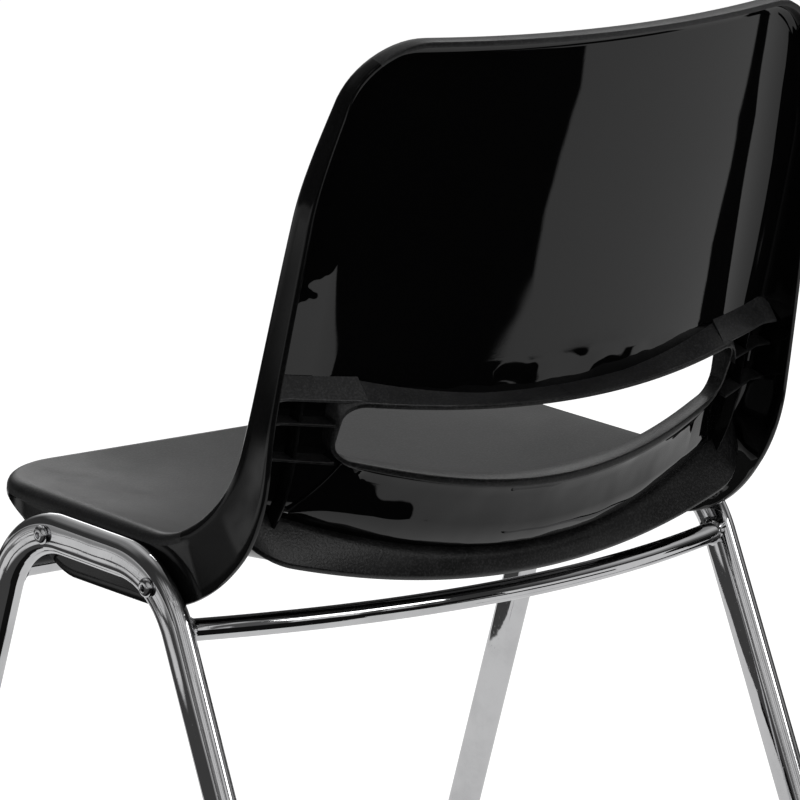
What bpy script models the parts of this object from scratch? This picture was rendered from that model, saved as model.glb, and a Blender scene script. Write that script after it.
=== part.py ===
"""Children's stacking chair: a one-piece moulded shell screwed to a bent oval-tube frame.

Metres, +Z up. The chair faces -Y, +X is the sitter's left, the floor is z = 0.
"""
import bisect
from math import cos, pi, radians, sin, sqrt, tan

import bmesh
import bpy
from mathutils import Vector

# Fits
FIT_GAP = 0.0003            # gap between touching pieces
SCREW_HOLE_PLAY = 0.0006    # hole diameter over screw diameter

# Shell: the crease line along each side, seen from the side
SEAT_HEIGHT = 0.356         # floor to the front crest of the seat
SEAT_RUN = 0.162            # crest to the start of the bend into the back
SEAT_PITCH = radians(2.3)   # seat falls towards the back
BEND_RADIUS = 0.080
BACK_RUN = 0.2352           # end of the bend to the top edge
BACK_RECLINE = radians(16.5)

# Shell: cross sections
SEAT_WIDTH = 0.381          # over the outer faces of the side skirts
WAIST_WIDTH = 0.368         # over the corner of the flange beside the hand slot
SHOULDER_WIDTH = 0.363      # the same, three fifths up the back
TOP_WIDTH = 0.322           # the same at the top, before the corners are rounded
WAIST_START = 0.35          # share of the bend where the sides start to close in
SHOULDER_SHARE = 0.60       # share of the back where the shoulders are
SEAT_DISH = 0.030           # depth of the middle below the crease line
BEND_DISH = 0.052
WAIST_DISH = 0.036
TOP_DISH = 0.019
FRONT_CORNER_RADIUS = 0.042
TOP_CORNER_RADIUS = 0.0285
SHELL_WALL = 0.0035

# Shell: the turned edge
FRONT_LIP_DEPTH = 0.011
FRONT_LIP_SHARE = 0.4       # share of the front corner that keeps this depth
SKIRT_DEPTH = 0.044         # beside the seat
SKIRT_SHARE = 0.58          # share of the seat by which the skirt has this depth
CORNER_FLANGE_DEPTH = 0.041
WAIST_FLANGE_DEPTH = 0.031
TOP_FLANGE_DEPTH = 0.0145
WAIST_FLANGE_DRAFT = 0.16   # outward drift per depth
FRONT_CREASE = 0.008        # reach of the rounding between sheet and flange
SEAT_CREASE = 0.009
BACK_CREASE = 0.012

# Shell: hand slot and stiffening behind it, heights measured along the crease line
SLOT_LENGTH = 0.280
SLOT_HEIGHT = 0.040
SLOT_RISE = 0.0124          # centre of the slot above the end of the bend
SLOT_TOP_CURVE = 0.008      # how far its edges turn up out at the waist
SLOT_BOTTOM_CURVE = 0.018
SLOT_CORNER_RADIUS = 0.012
COLLAR_WALL = 0.003
COLLAR_DEPTH = 0.0175       # from the sitting face to the rear edge above the slot
LIP_DEPTH = 0.0095          # the same below the slot
LIP_BLEND = 0.012           # the lip runs out into the lower panel
SHELF_THICKNESS = 0.0015    # root of the shelf above the slot at the middle
SHELF_CURVE = 0.028
SIDE_SHELF_RISE = 0.0499    # root of the shelf beside the slot above the end of the bend
SIDE_SHELF_DROP = 0.010     # its edge below its root
RIB_WALL = 0.0016
RIB_DEPTH = 0.0160
UPPER_RIB_RISE = 0.0238     # above the end of the bend
LOWER_RIB_RISE = 0.0019
SPINE_OFFSET = 0.161        # upright rib from the middle plane
PANEL_DEPTH = 0.0065        # lower panel, thicker than the pockets beside it
PANEL_TURN = radians(48)    # how far round the bend its lower edge lies
PANEL_CURVE = 0.010
PANEL_SHOULDER = 0.130      # its upper corners from the middle plane
PANEL_END_SLOPE = 1.2       # fall of its ends outwards
WEB_TURN = radians(46)      # how far round the bend the crescent web stands
WEB_WALL = 0.005
WEB_HALF_LENGTH = 0.185
WEB_EDGE_DEPTH = 0.010      # its upper edge from the sitting face at the middle
WEB_EDGE_FALL = 0.0069      # how far that edge sinks towards its ends
WEB_EDGE_CURVE = 0.0066     # how far that edge turns up there
WEB_DEPTH = 0.017           # its free edge at the middle
WEB_END_GAIN = 0.0206       # extra depth of the free edge towards the ends
WEB_FALL = 0.004            # the free edge hangs below its root at the middle
WEB_CORNER = 0.030          # stretch over which each end of the free edge rounds off
WEB_END_SHARE = 0.05        # share of its depth that is left at the very ends

# Frame: each side is one bent flat-sided oval tube
TUBE_DEPTH = 0.0235         # long axis, in the plane of the side frame
TUBE_WIDTH = 0.013
TUBE_WALL = 0.0015
TUBE_BEND_RADIUS = 0.058
RAIL_LENGTH = 0.137         # between the corners of the centre line
RAIL_DROP = 0.019           # front corner below the seat crest
RAIL_PITCH = radians(1.7)
SEAT_OVERHANG = 0.050       # seat crest ahead of the front corner
FRONT_SPLAY = radians(19.7)
REAR_SPLAY = radians(24.6)
SIDE_SPLAY = radians(0.8)
BAR_DIAMETER = 0.0127
BAR_WALL = 0.0012
VENT_DIAMETER = 0.004       # holes under each end of a bar
VENT_OFFSET = 0.016         # from the leg's centre line
FRONT_BAR_DROP = 0.030      # below the front corner of the centre line
REAR_BAR_DROP = 0.031
REAR_BAR_BOW = 0.039
WELD_SIZE = 0.0025          # radial swell of the bar at the weld
WELD_LENGTH = 0.006

# Fasteners: button-head screws into flange nuts
SCREW_DIAMETER = 0.006
SCREW_HEAD_DIAMETER = 0.011
SCREW_HEAD_HEIGHT = 0.0033
SOCKET_WIDTH = 0.004
SOCKET_DEPTH = 0.002
SCREW_TIP = 0.002           # thread past the nut
SCREW_CHAMFER = 0.0005
CROWN_FLAT_DIAMETER = 0.0055  # flat of the head round the socket
FRONT_SCREW_OFFSET = 0.031  # behind the front corner of the rail
REAR_SCREW_OFFSET = 0.005   # ahead of the rear corner of the rail
NUT_WIDTH = 0.010
NUT_HEIGHT = 0.006
NUT_FLANGE_DIAMETER = 0.014
NUT_FLANGE_HEIGHT = 0.0015
HEX_SIDES = 6

# Glides: plastic plugs in the ends of the legs
GLIDE_HEIGHT = 0.010        # floor to the end of the tube
GLIDE_LIP = 0.001           # stands out beyond the tube
GLIDE_BEVEL = 0.0015
GLIDE_PLUG = 0.018
PLUG_TAPER = 0.001

# Cutters run on past the faces that they cut
SLOT_CUT_PAST = 0.035
DRILL_PAST = 0.007

# Mesh density
COLUMNS = 18
CORNER_STEPS = 5
SEAT_STEPS = 5
BEND_STEPS = 10
BACK_STEPS = 8
CREASE_STEPS = 3
SKIRT_STEPS = 2
TUBE_SIDES = 18
TUBE_BEND_STEPS = 8
BAR_SIDES = 12
BAR_STEPS = 10
ROUND_SIDES = 14
SLOT_STEPS = 14
PANEL_STEPS = 8
PANEL_END_STEPS = 3
WEB_STEPS = 9
RIB_STEPS = 3
SPINE_STEPS = 6
VENT_SIDES = 10
SLOT_CORNER_STEPS = 4
CROWN_STEPS = 4
SHARP_ANGLE = radians(35)

# Blocks on the back of the sheet start inside its wall
ROOT_DEPTH = SHELL_WALL / 2

# Lengths along the crease line
BEND_SWEEP = pi / 2 - BACK_RECLINE + SEAT_PITCH
BEND_START = SEAT_RUN
BEND_END = BEND_START + BEND_RADIUS * BEND_SWEEP
SHELL_RUN = BEND_END + BACK_RUN
SLOT_CENTRE = BEND_END + SLOT_RISE
SLOT_BOTTOM = SLOT_CENTRE - SLOT_HEIGHT / 2
SLOT_TOP = SLOT_CENTRE + SLOT_HEIGHT / 2
PANEL_STATION = BEND_START + BEND_RADIUS * (PANEL_TURN + SEAT_PITCH)
WEB_STATION = BEND_START + BEND_RADIUS * (WEB_TURN + SEAT_PITCH)

# Places of the frame: the origin of the side view is under the rear corner of the rail
FRONT_CORNER_Y = -RAIL_LENGTH
FRONT_CORNER_Z = SEAT_HEIGHT - RAIL_DROP
REAR_CORNER_Z = FRONT_CORNER_Z - RAIL_LENGTH * tan(RAIL_PITCH)
SEAT_CREST_Y = FRONT_CORNER_Y - SEAT_OVERHANG
FRAME_X = SEAT_WIDTH / 2 + FIT_GAP + TUBE_WIDTH / 2
SIDES = {"left": 1, "right": -1}


def clear_scene():
    for thing in list(bpy.data.objects):
        bpy.data.objects.remove(thing, do_unlink=True)


def plain_material(name, colour, roughness, metallic):
    material = bpy.data.materials.new(name)
    material.use_nodes = True
    shader = material.node_tree.nodes["Principled BSDF"]
    shader.inputs["Base Color"].default_value = (*colour, 1.0)
    shader.inputs["Roughness"].default_value = roughness
    shader.inputs["Metallic"].default_value = metallic
    return material


def mesh_object(name, points, faces, material, parent):
    mesh = bpy.data.meshes.new(name)
    mesh.from_pydata([tuple(point) for point in points], [], faces)
    mesh.validate()
    solid = bmesh.new()
    solid.from_mesh(mesh)
    bmesh.ops.triangulate(solid, faces=solid.faces)
    bmesh.ops.recalc_face_normals(solid, faces=solid.faces)
    solid.to_mesh(mesh)
    solid.free()
    mesh.shade_smooth()
    mesh.set_sharp_from_angle(angle=SHARP_ANGLE)
    mesh.materials.append(material)
    thing = bpy.data.objects.new(name, mesh)
    bpy.context.scene.collection.objects.link(thing)
    thing.parent = parent
    return thing


def make_guide(thing):
    thing.hide_render = True
    thing.display_type = "WIRE"
    return thing


def combine(thing, operand, operation):
    modifier = thing.modifiers.new(operand.name, "BOOLEAN")
    modifier.operation = operation
    modifier.solver = "EXACT"
    modifier.object = make_guide(operand)


def loft(rings, closed_ends=True):
    """Points and faces of a skin over rings that all have the same count of points."""
    count = len(rings[0])
    points = [point for ring in rings for point in ring]
    faces = []
    for ring in range(len(rings) - 1):
        for side in range(count):
            turn = (side + 1) % count
            faces.append((ring * count + side, ring * count + turn,
                          (ring + 1) * count + turn, (ring + 1) * count + side))
    if closed_ends:
        faces.append(tuple(reversed(range(count))))
        faces.append(tuple(range((len(rings) - 1) * count, len(rings) * count)))
    return points, faces


def smooth_between(stations, place):
    """Monotone cubic through (place, value) stations, level outside them."""
    places = [station[0] for station in stations]
    values = [station[1] for station in stations]
    if place <= places[0]:
        return values[0]
    if place >= places[-1]:
        return values[-1]
    slopes = [(b[1] - a[1]) / (b[0] - a[0]) for a, b in zip(stations, stations[1:])]
    tangents = [slopes[0]]
    for before, after in zip(slopes, slopes[1:]):
        tangents.append(0.0 if before * after <= 0 else 2 * before * after / (before + after))
    tangents.append(slopes[-1])
    index = bisect.bisect_right(places, place) - 1
    span = places[index + 1] - places[index]
    t = (place - places[index]) / span
    return (values[index] * (1 + 2 * t) * (1 - t) ** 2
            + tangents[index] * span * t * (1 - t) ** 2
            + values[index + 1] * t * t * (3 - 2 * t)
            + tangents[index + 1] * span * t * t * (t - 1))


# Shell

def crease_line(run):
    """Place, direction and outward normal (down or back) of the side crease at a run from the crest."""
    crest = Vector((0.0, SEAT_CREST_Y, SEAT_HEIGHT))
    heading = -SEAT_PITCH
    if run > BEND_START:
        heading += min(run - BEND_START, BEND_END - BEND_START) / BEND_RADIUS
    along = Vector((0.0, cos(heading), sin(heading)))
    outward = Vector((0.0, sin(heading), -cos(heading)))
    seat_along = Vector((0.0, cos(SEAT_PITCH), -sin(SEAT_PITCH)))
    seat_outward = Vector((0.0, -sin(SEAT_PITCH), -cos(SEAT_PITCH)))
    place = crest + seat_along * min(run, BEND_START)
    if run > BEND_START:
        place += (outward - seat_outward) * BEND_RADIUS
    if run > BEND_END:
        place += along * (run - BEND_END)
    return place, along, outward


def corner_half_width(run):
    """Half width over the corner between sheet and flange."""
    return smooth_between([(BEND_START + WAIST_START * (BEND_END - BEND_START), SEAT_WIDTH / 2),
                           (BEND_END + SLOT_RISE, WAIST_WIDTH / 2),
                           (BEND_END + SHOULDER_SHARE * BACK_RUN, SHOULDER_WIDTH / 2),
                           (SHELL_RUN, TOP_WIDTH / 2)], run)


def dish_depth(run):
    return smooth_between([(0.0, 0.0),
                           (BEND_START, SEAT_DISH),
                           (WEB_STATION, BEND_DISH),
                           (SLOT_TOP, WAIST_DISH),
                           (SHELL_RUN, TOP_DISH)], run)


def flange_depth(run):
    return smooth_between([(0.0, FRONT_LIP_DEPTH),
                           (FRONT_LIP_SHARE * FRONT_CORNER_RADIUS, FRONT_LIP_DEPTH),
                           (SKIRT_SHARE * SEAT_RUN, SKIRT_DEPTH),
                           (BEND_START, SKIRT_DEPTH),
                           (WEB_STATION, CORNER_FLANGE_DEPTH),
                           (SLOT_TOP, WAIST_FLANGE_DEPTH),
                           (SHELL_RUN, TOP_FLANGE_DEPTH)], run)


def flange_draft(run):
    return smooth_between([(WEB_STATION, 0.0),
                           (SLOT_TOP, WAIST_FLANGE_DRAFT),
                           (BEND_END + SHOULDER_SHARE * BACK_RUN, 0.0)], run)


def crease_reach(run):
    return smooth_between([(0.0, FRONT_CREASE),
                           (FRONT_CORNER_RADIUS, SEAT_CREASE),
                           (BEND_START, SEAT_CREASE),
                           (BEND_END, BACK_CREASE)], run)


def corner_cut(run):
    """How far a rounded corner takes the edge in, and the sine of the edge's turn there."""
    if run < FRONT_CORNER_RADIUS:
        radius = FRONT_CORNER_RADIUS
        turn = (run - radius) / radius
    elif run > SHELL_RUN - TOP_CORNER_RADIUS:
        radius = TOP_CORNER_RADIUS
        turn = (run - SHELL_RUN + radius) / radius
    else:
        return 0.0, 0.0
    turn = max(-1.0, min(1.0, turn))
    return radius * (1 - sqrt(1 - turn * turn)), turn


def sheet_half_width(run):
    return corner_half_width(run) - crease_reach(run)


def shell_point(x, run, depth=0.0):
    """Point of the sitting face at x across and a run along it, moved out by a depth."""
    place, _, outward = crease_line(run)
    share = min(1.0, abs(x) / sheet_half_width(run))
    return place + Vector((x, 0.0, 0.0)) + outward * (dish_depth(run) * (1 - share * share) + depth)


def shell_rows():
    quarter = [pi / 2 * step / CORNER_STEPS for step in range(CORNER_STEPS + 1)]
    rows = [FRONT_CORNER_RADIUS * (1 - cos(angle)) for angle in quarter]
    for start, end, steps in ((FRONT_CORNER_RADIUS, BEND_START, SEAT_STEPS),
                              (BEND_START, BEND_END, BEND_STEPS),
                              (BEND_END, SHELL_RUN - TOP_CORNER_RADIUS, BACK_STEPS)):
        rows += [start + (end - start) * step / steps for step in range(1, steps + 1)]
    rows += [SHELL_RUN - TOP_CORNER_RADIUS * (1 - sin(angle)) for angle in quarter[1:]]
    return rows


def wall_depth(x, run):
    """Depth of the wall along the outward direction, which leans against the dished sheet."""
    slope = 2 * dish_depth(run) * x / sheet_half_width(run) ** 2
    return SHELL_WALL * sqrt(1 + slope * slope)


def rounded_corner(start, knee, end):
    """Points after the start on a smooth turn about a knee."""
    turn = []
    for step in range(1, CREASE_STEPS + 1):
        t = step / CREASE_STEPS
        turn.append(start * (1 - t) ** 2 + knee * 2 * t * (1 - t) + end * t * t)
    return turn


def flange_chains(x, run, edge_turn):
    """Points over the crease and along the flange, for its outer and its inner face."""
    _, along, outward = crease_line(run)
    side = 1 if x > 0 else -1
    away = Vector((side * sqrt(1 - edge_turn * edge_turn), 0.0, 0.0)) + along * edge_turn
    reach = crease_reach(run)
    rise = 2 * dish_depth(run) * abs(x * away.x) / sheet_half_width(run) ** 2
    draft = flange_draft(run)
    lean = sqrt(1 + draft * draft)
    fall = (outward + away * draft) / lean
    facing = (away - outward * draft) / lean
    base = shell_point(x, run)
    knee = base + (away - outward * rise) * reach
    end = knee + fall * flange_depth(run)
    under = wall_depth(x, run)
    drop = (under + (rise - draft) * SHELL_WALL / lean) / (1 + rise * draft)
    inner_reach = reach - SHELL_WALL / lean + drop * draft
    inner_base = base + outward * under
    inner_knee = inner_base + (away - outward * rise) * inner_reach
    inner_end = end - facing * SHELL_WALL
    chains = []
    for first, corner, last, span in ((base, knee, end, reach),
                                      (inner_base, inner_knee, inner_end, inner_reach)):
        chain = rounded_corner(first, corner, corner + fall * span)
        for step in range(1, SKIRT_STEPS + 1):
            chain.append(chain[CREASE_STEPS - 1].lerp(last, step / SKIRT_STEPS))
        chains.append(chain)
    return chains


def build_sheet(material, parent):
    """The moulded skin: sitting face, rounded crease and flange, with its inner face and rim."""
    rows = shell_rows()
    width = COLUMNS + 1
    last = len(rows) - 1
    edge = [(0, column, -1.0) for column in range(width)]
    edge += [(row, COLUMNS, corner_cut(rows[row])[1]) for row in range(1, last)]
    edge += [(last, column, 1.0) for column in reversed(range(width))]
    edge += [(row, 0, corner_cut(rows[row])[1]) for row in reversed(range(1, last))]
    places = []
    for run in rows:
        half = sheet_half_width(run) - corner_cut(run)[0]
        places += [(half * (2 * column / COLUMNS - 1), run) for column in range(width)]
    chains = [flange_chains(*places[row * width + column], turn) for row, column, turn in edge]
    points = []
    faces = []
    rims = []
    for inner in (False, True):
        first = len(points)
        points += [shell_point(x, run, wall_depth(x, run) if inner else 0.0) for x, run in places]
        for row in range(last):
            for column in range(COLUMNS):
                corner = first + row * width + column
                faces.append((corner, corner + 1, corner + width + 1, corner + width))
        ring = [first + row * width + column for row, column, _ in edge]
        for step in range(CREASE_STEPS + SKIRT_STEPS):
            outer = [len(points) + index for index in range(len(edge))]
            points += [pair[inner][step] for pair in chains]
            for index in range(len(edge)):
                turn = (index + 1) % len(edge)
                faces.append((ring[index], outer[index], outer[turn], ring[turn]))
            ring = outer
        rims.append(ring)
    for index in range(len(edge)):
        turn = (index + 1) % len(edge)
        faces.append((rims[0][index], rims[1][index], rims[1][turn], rims[0][turn]))
    return mesh_object("shell", points, faces, material, parent)


def turn_up(x):
    """Share of an edge's curve that is reached at x across."""
    return (2 * x / WAIST_WIDTH) ** 2


def slot_columns(grow):
    """Rounded slot, grown by a margin, as columns of (x, lower run, upper run) from end to end."""
    half = SLOT_LENGTH / 2 + grow
    radius = SLOT_CORNER_RADIUS + grow
    straight = half - radius
    turns = [pi / 2 * step / SLOT_CORNER_STEPS for step in range(SLOT_CORNER_STEPS + 1)]
    end = [(straight + radius * cos(angle), radius * (1 - sin(angle))) for angle in turns]
    middle = [(straight * (1 - 2 * step / SLOT_STEPS), 0.0) for step in range(1, SLOT_STEPS)]
    columns = end + middle + [(-x, inset) for x, inset in reversed(end)]
    return [(x, SLOT_BOTTOM + SLOT_BOTTOM_CURVE * turn_up(x) - grow + inset,
             SLOT_TOP + SLOT_TOP_CURVE * turn_up(x) + grow - inset) for x, inset in columns]


def section_block(name, sections, material, parent):
    """Solid over sections of (x, [(run, depth), ...]) standing on the back of the sheet."""
    rings = [[shell_point(x, run, depth) for run, depth in outline] for x, outline in sections]
    return mesh_object(name, *loft(rings), material, parent)


def slot_cut_sections():
    near = -SLOT_CUT_PAST
    far = COLLAR_DEPTH + SLOT_CUT_PAST
    return [(x, [(low, near), (high, near), (high, far), (low, far)])
            for x, low, high in slot_columns(0.0)]


def lip_blend(x):
    """How far the lip runs out below the slot: all along the panel, fading out at its shoulders."""
    return LIP_BLEND * smooth_between([(PANEL_SHOULDER - LIP_BLEND, 1.0), (PANEL_SHOULDER, 0.0)], abs(x))


def collar_sections():
    """Ring wall round the slot: a shelf on top, a lip that runs into the panel below."""
    sections = []
    for x, low, high in slot_columns(COLLAR_WALL):
        shelf = max(high, SLOT_TOP + SHELF_THICKNESS + SHELF_CURVE * turn_up(x))
        sections.append((x, [(low - lip_blend(x), ROOT_DEPTH), (shelf, ROOT_DEPTH),
                             (high, COLLAR_DEPTH), (low, LIP_DEPTH)]))
    return sections


def panel_sections():
    """Lower panel between the slot and the web, running out to a point at each end."""
    shoulder_top = SLOT_BOTTOM + SLOT_BOTTOM_CURVE * turn_up(PANEL_SHOULDER)
    shoulder_low = PANEL_STATION + PANEL_CURVE * turn_up(PANEL_SHOULDER)
    tip = PANEL_SHOULDER + (shoulder_top - shoulder_low) / PANEL_END_SLOPE
    half = [PANEL_SHOULDER * step / PANEL_STEPS for step in range(1, PANEL_STEPS + 1)]
    half += [PANEL_SHOULDER + (tip - PANEL_SHOULDER) * step / PANEL_END_STEPS
             for step in range(1, PANEL_END_STEPS + 1)]
    sections = []
    for x in [-x for x in reversed(half)] + [0.0] + half:
        low = PANEL_STATION + PANEL_CURVE * turn_up(x)
        high = SLOT_BOTTOM + SLOT_BOTTOM_CURVE * turn_up(x)
        if abs(x) > PANEL_SHOULDER:
            high = max(low + RIB_WALL / 2, shoulder_top - (abs(x) - PANEL_SHOULDER) * PANEL_END_SLOPE)
        sections.append((x, [(low, ROOT_DEPTH), (high, ROOT_DEPTH),
                             (high, PANEL_DEPTH), (low, PANEL_DEPTH)]))
    return sections


def web_rounding(x):
    """Share of the web's full depth at x across: its ends round off like a quarter ellipse."""
    inset = max(0.0, abs(x) - WEB_HALF_LENGTH + WEB_CORNER) / WEB_CORNER
    return max(WEB_END_SHARE, sqrt(max(0.0, 1 - inset * inset)))


def web_sections():
    """Crescent web: an upper edge proud of the panel and a free edge below it."""
    sections = []
    for step in range(2 * WEB_STEPS + 1):
        x = WEB_HALF_LENGTH * (step / WEB_STEPS - 1)
        share = (x / WEB_HALF_LENGTH) ** 2
        edge = WEB_EDGE_DEPTH - WEB_EDGE_FALL * share
        top = WEB_STATION + WEB_EDGE_CURVE * share
        tip = edge + (WEB_DEPTH + WEB_END_GAIN * share - edge) * web_rounding(x)
        free = WEB_STATION - WEB_FALL * (1 - share)
        sections.append((x, [(WEB_STATION - WEB_WALL, ROOT_DEPTH), (top, ROOT_DEPTH), (top, edge),
                             (free, tip), (free - WEB_WALL / 2, tip)]))
    return sections


def rib_run(sign, inner, outer, outline):
    return [(sign * (inner + (outer - inner) * step / RIB_STEPS), outline) for step in range(RIB_STEPS + 1)]


def shelf_sections(sign):
    """Sloping shelf between the end of the slot and the side flange."""
    root = BEND_END + SIDE_SHELF_RISE
    tip = root - SIDE_SHELF_DROP
    inner = SLOT_LENGTH / 2 - SLOT_CORNER_RADIUS
    outer = corner_half_width(root) - SHELL_WALL / 2
    outline = [(root - RIB_WALL, ROOT_DEPTH), (root, ROOT_DEPTH),
               (tip, RIB_DEPTH), (tip - RIB_WALL, RIB_DEPTH)]
    return rib_run(sign, inner, outer, outline)


def rib_sections(sign, run):
    """Level rib between the end of the slot and the side flange."""
    inner = SLOT_LENGTH / 2 + COLLAR_WALL / 2
    outer = corner_half_width(run) - SHELL_WALL / 2
    low = run - RIB_WALL / 2
    high = run + RIB_WALL / 2
    depth = RIB_DEPTH - RIB_WALL
    return rib_run(sign, inner, outer, [(low, ROOT_DEPTH), (high, ROOT_DEPTH), (high, depth), (low, depth)])


def spine_block(name, sign, material, parent):
    """Upright rib through the level ribs, from the shelf down to the web."""
    top = BEND_END + SIDE_SHELF_RISE - SIDE_SHELF_DROP
    depth = RIB_DEPTH - 2 * RIB_WALL
    rings = []
    for step in range(SPINE_STEPS + 1):
        run = top + (WEB_STATION - WEB_WALL / 2 - top) * step / SPINE_STEPS
        inner = sign * SPINE_OFFSET - RIB_WALL / 2
        outer = inner + RIB_WALL
        rings.append([shell_point(inner, run, ROOT_DEPTH), shell_point(outer, run, ROOT_DEPTH),
                      shell_point(outer, run, depth), shell_point(inner, run, depth)])
    return mesh_object(name, *loft(rings), material, parent)


def add_ribs(shell, material, parent):
    """Collar, lower panel, ribs and crescent web on the back of the sheet."""
    blocks = {"slot_collar": collar_sections(),
              "lower_panel": panel_sections(),
              "crescent_web": web_sections()}
    for side, sign in SIDES.items():
        blocks[f"shelf_{side}"] = shelf_sections(sign)
        blocks[f"upper_rib_{side}"] = rib_sections(sign, BEND_END + UPPER_RIB_RISE)
        blocks[f"lower_rib_{side}"] = rib_sections(sign, BEND_END + LOWER_RIB_RISE)
    for name, sections in blocks.items():
        combine(shell, section_block(name, sections, material, parent), "UNION")
    for side, sign in SIDES.items():
        combine(shell, spine_block(f"spine_{side}", sign, material, parent), "UNION")


def build_shell(material, parent):
    shell = build_sheet(material, parent)
    add_ribs(shell, material, parent)
    combine(shell, section_block("slot_cut", slot_cut_sections(), material, parent), "DIFFERENCE")
    start = SEAT_WIDTH / 2 - SHELL_WALL - DRILL_PAST
    end = SEAT_WIDTH / 2 + DRILL_PAST
    for name, sign, place in screw_places():
        drill = cross_cylinder(f"shell_hole_{name}", SCREW_DIAMETER + SCREW_HOLE_PLAY,
                               sign * start, sign * end, place, material, parent)
        combine(shell, drill, "DIFFERENCE")


# Frame

def frame_corners():
    """Centre line of a side frame in (y, z): front foot, two corners of the rail, rear foot."""
    front_foot = (FRONT_CORNER_Y - (FRONT_CORNER_Z - GLIDE_HEIGHT) * tan(FRONT_SPLAY), GLIDE_HEIGHT)
    rear_foot = ((REAR_CORNER_Z - GLIDE_HEIGHT) * tan(REAR_SPLAY), GLIDE_HEIGHT)
    return [Vector(front_foot), Vector((FRONT_CORNER_Y, FRONT_CORNER_Z)),
            Vector((0.0, REAR_CORNER_Z)), Vector(rear_foot)]


def frame_path():
    """Rounded centre line as (y, z) points, from the front foot to the rear foot."""
    front_foot, front, rear, rear_foot = frame_corners()
    path = [front_foot]
    for before, corner, after in ((front_foot, front, rear), (front, rear, rear_foot)):
        inward = (before - corner).normalized()
        onward = (after - corner).normalized()
        half = inward.angle(onward) / 2
        centre = corner + (inward + onward).normalized() * (TUBE_BEND_RADIUS / sin(half))
        start = corner + inward * (TUBE_BEND_RADIUS / tan(half)) - centre
        end = corner + onward * (TUBE_BEND_RADIUS / tan(half)) - centre
        sweep = start.angle(end)
        for step in range(TUBE_BEND_STEPS + 1):
            t = step / TUBE_BEND_STEPS
            path.append(centre + (start * sin((1 - t) * sweep) + end * sin(t * sweep)) / sin(sweep))
    return path + [rear_foot]


def path_crossing(path, axis, value):
    """First point where the path reaches a value of y (axis 0) or z (axis 1)."""
    for a, b in zip(path, path[1:]):
        if (a[axis] - value) * (b[axis] - value) <= 0 and a[axis] != b[axis]:
            return a + (b - a) * ((value - a[axis]) / (b[axis] - a[axis]))
    raise ValueError("the frame's centre line doesn't reach this place")


def circle(sides):
    return [(cos(2 * pi * side / sides), sin(2 * pi * side / sides)) for side in range(sides)]


def flat_oval(depth, width):
    """Section with two flat sides and two half-round edges, as (along its depth, across) points."""
    radius = width / 2
    turns = [pi * (step / (TUBE_SIDES // 2 - 1) - 0.5) for step in range(TUBE_SIDES // 2)]
    edge = [((depth - width) / 2 + radius * cos(angle), radius * sin(angle)) for angle in turns]
    return edge + [(-u, -v) for u, v in edge]


def tube_rings(path, depth, width):
    """Oval sections along the path in (x, y, z), cut level at both feet."""
    rings = []
    last = len(path) - 1
    for index, place in enumerate(path):
        before = path[max(index - 1, 0)]
        after = path[min(index + 1, last)]
        along = (after - before).normalized()
        across = Vector((-along.y, along.x))
        ring = []
        for u, v in flat_oval(depth, width):
            point = place + across * u
            if index in (0, last):
                point = point + along * ((place.y - point.y) / along.y)
            ring.append(Vector((v, point.x, point.y)))
        rings.append(ring)
    return rings


def place_in_frame(thing, sign):
    """Stand a side piece in its plane, which leans out towards the feet about the rail's front corner."""
    thing.location = (sign * FRAME_X, 0.0, FRONT_CORNER_Z)
    thing.rotation_euler = (0.0, -sign * SIDE_SPLAY, 0.0)


def lowered(rings):
    return [[point - Vector((0.0, 0.0, FRONT_CORNER_Z)) for point in ring] for ring in rings]


def frame_x(sign, z):
    """Centre plane of a side frame at a height."""
    return sign * (FRAME_X + (FRONT_CORNER_Z - z) * tan(SIDE_SPLAY))


def hollow(outer, inner):
    """Points and faces of a tube with open ends, from its outer and inner rings."""
    points, faces = loft(outer + list(reversed(inner)), closed_ends=False)
    count = len(outer[0])
    last = (len(outer) + len(inner) - 1) * count
    faces += [(last + k, last + (k + 1) % count, (k + 1) % count, k) for k in range(count)]
    return points, faces


def build_side_frame(side, sign, material, parent):
    path = frame_path()
    outer = lowered(tube_rings(path, TUBE_DEPTH, TUBE_WIDTH))
    inner = lowered(tube_rings(path, TUBE_DEPTH - 2 * TUBE_WALL, TUBE_WIDTH - 2 * TUBE_WALL))
    frame = mesh_object(f"side_frame_{side}", *hollow(outer, inner), material, parent)
    place_in_frame(frame, sign)
    start = sign * (FRAME_X - TUBE_WIDTH / 2 - DRILL_PAST)
    end = sign * (FRAME_X + TUBE_WIDTH / 2 + DRILL_PAST)
    for name, screw_sign, place in screw_places():
        if screw_sign == sign:
            drill = cross_cylinder(f"frame_hole_{name}", SCREW_DIAMETER + SCREW_HOLE_PLAY,
                                   start, end, place, material, parent)
            combine(frame, drill, "DIFFERENCE")


def bar_rings(place, bow, radius, weld):
    """Round sections of a bar from leg to leg, bowed back, swollen at its ends by the weld."""
    reach = frame_x(1, place.y)
    weld_share = 1 - (TUBE_WIDTH / 2 + WELD_LENGTH) / reach
    steps = BAR_STEPS if bow else 1
    shares = sorted([2 * step / steps - 1 for step in range(steps + 1)] + [weld_share, -weld_share])
    rings = []
    for share in shares:
        size = radius + (weld if abs(share) > weld_share else 0.0)
        centre = Vector((reach * share, place.x + bow * (1 - share * share), place.y))
        heading = Vector((reach, -2 * bow * share, 0.0)).normalized()
        side = Vector((-heading.y, heading.x, 0.0))
        rings.append([centre + (side * u + Vector((0.0, 0.0, v))) * size for u, v in circle(BAR_SIDES)])
    return rings


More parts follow.
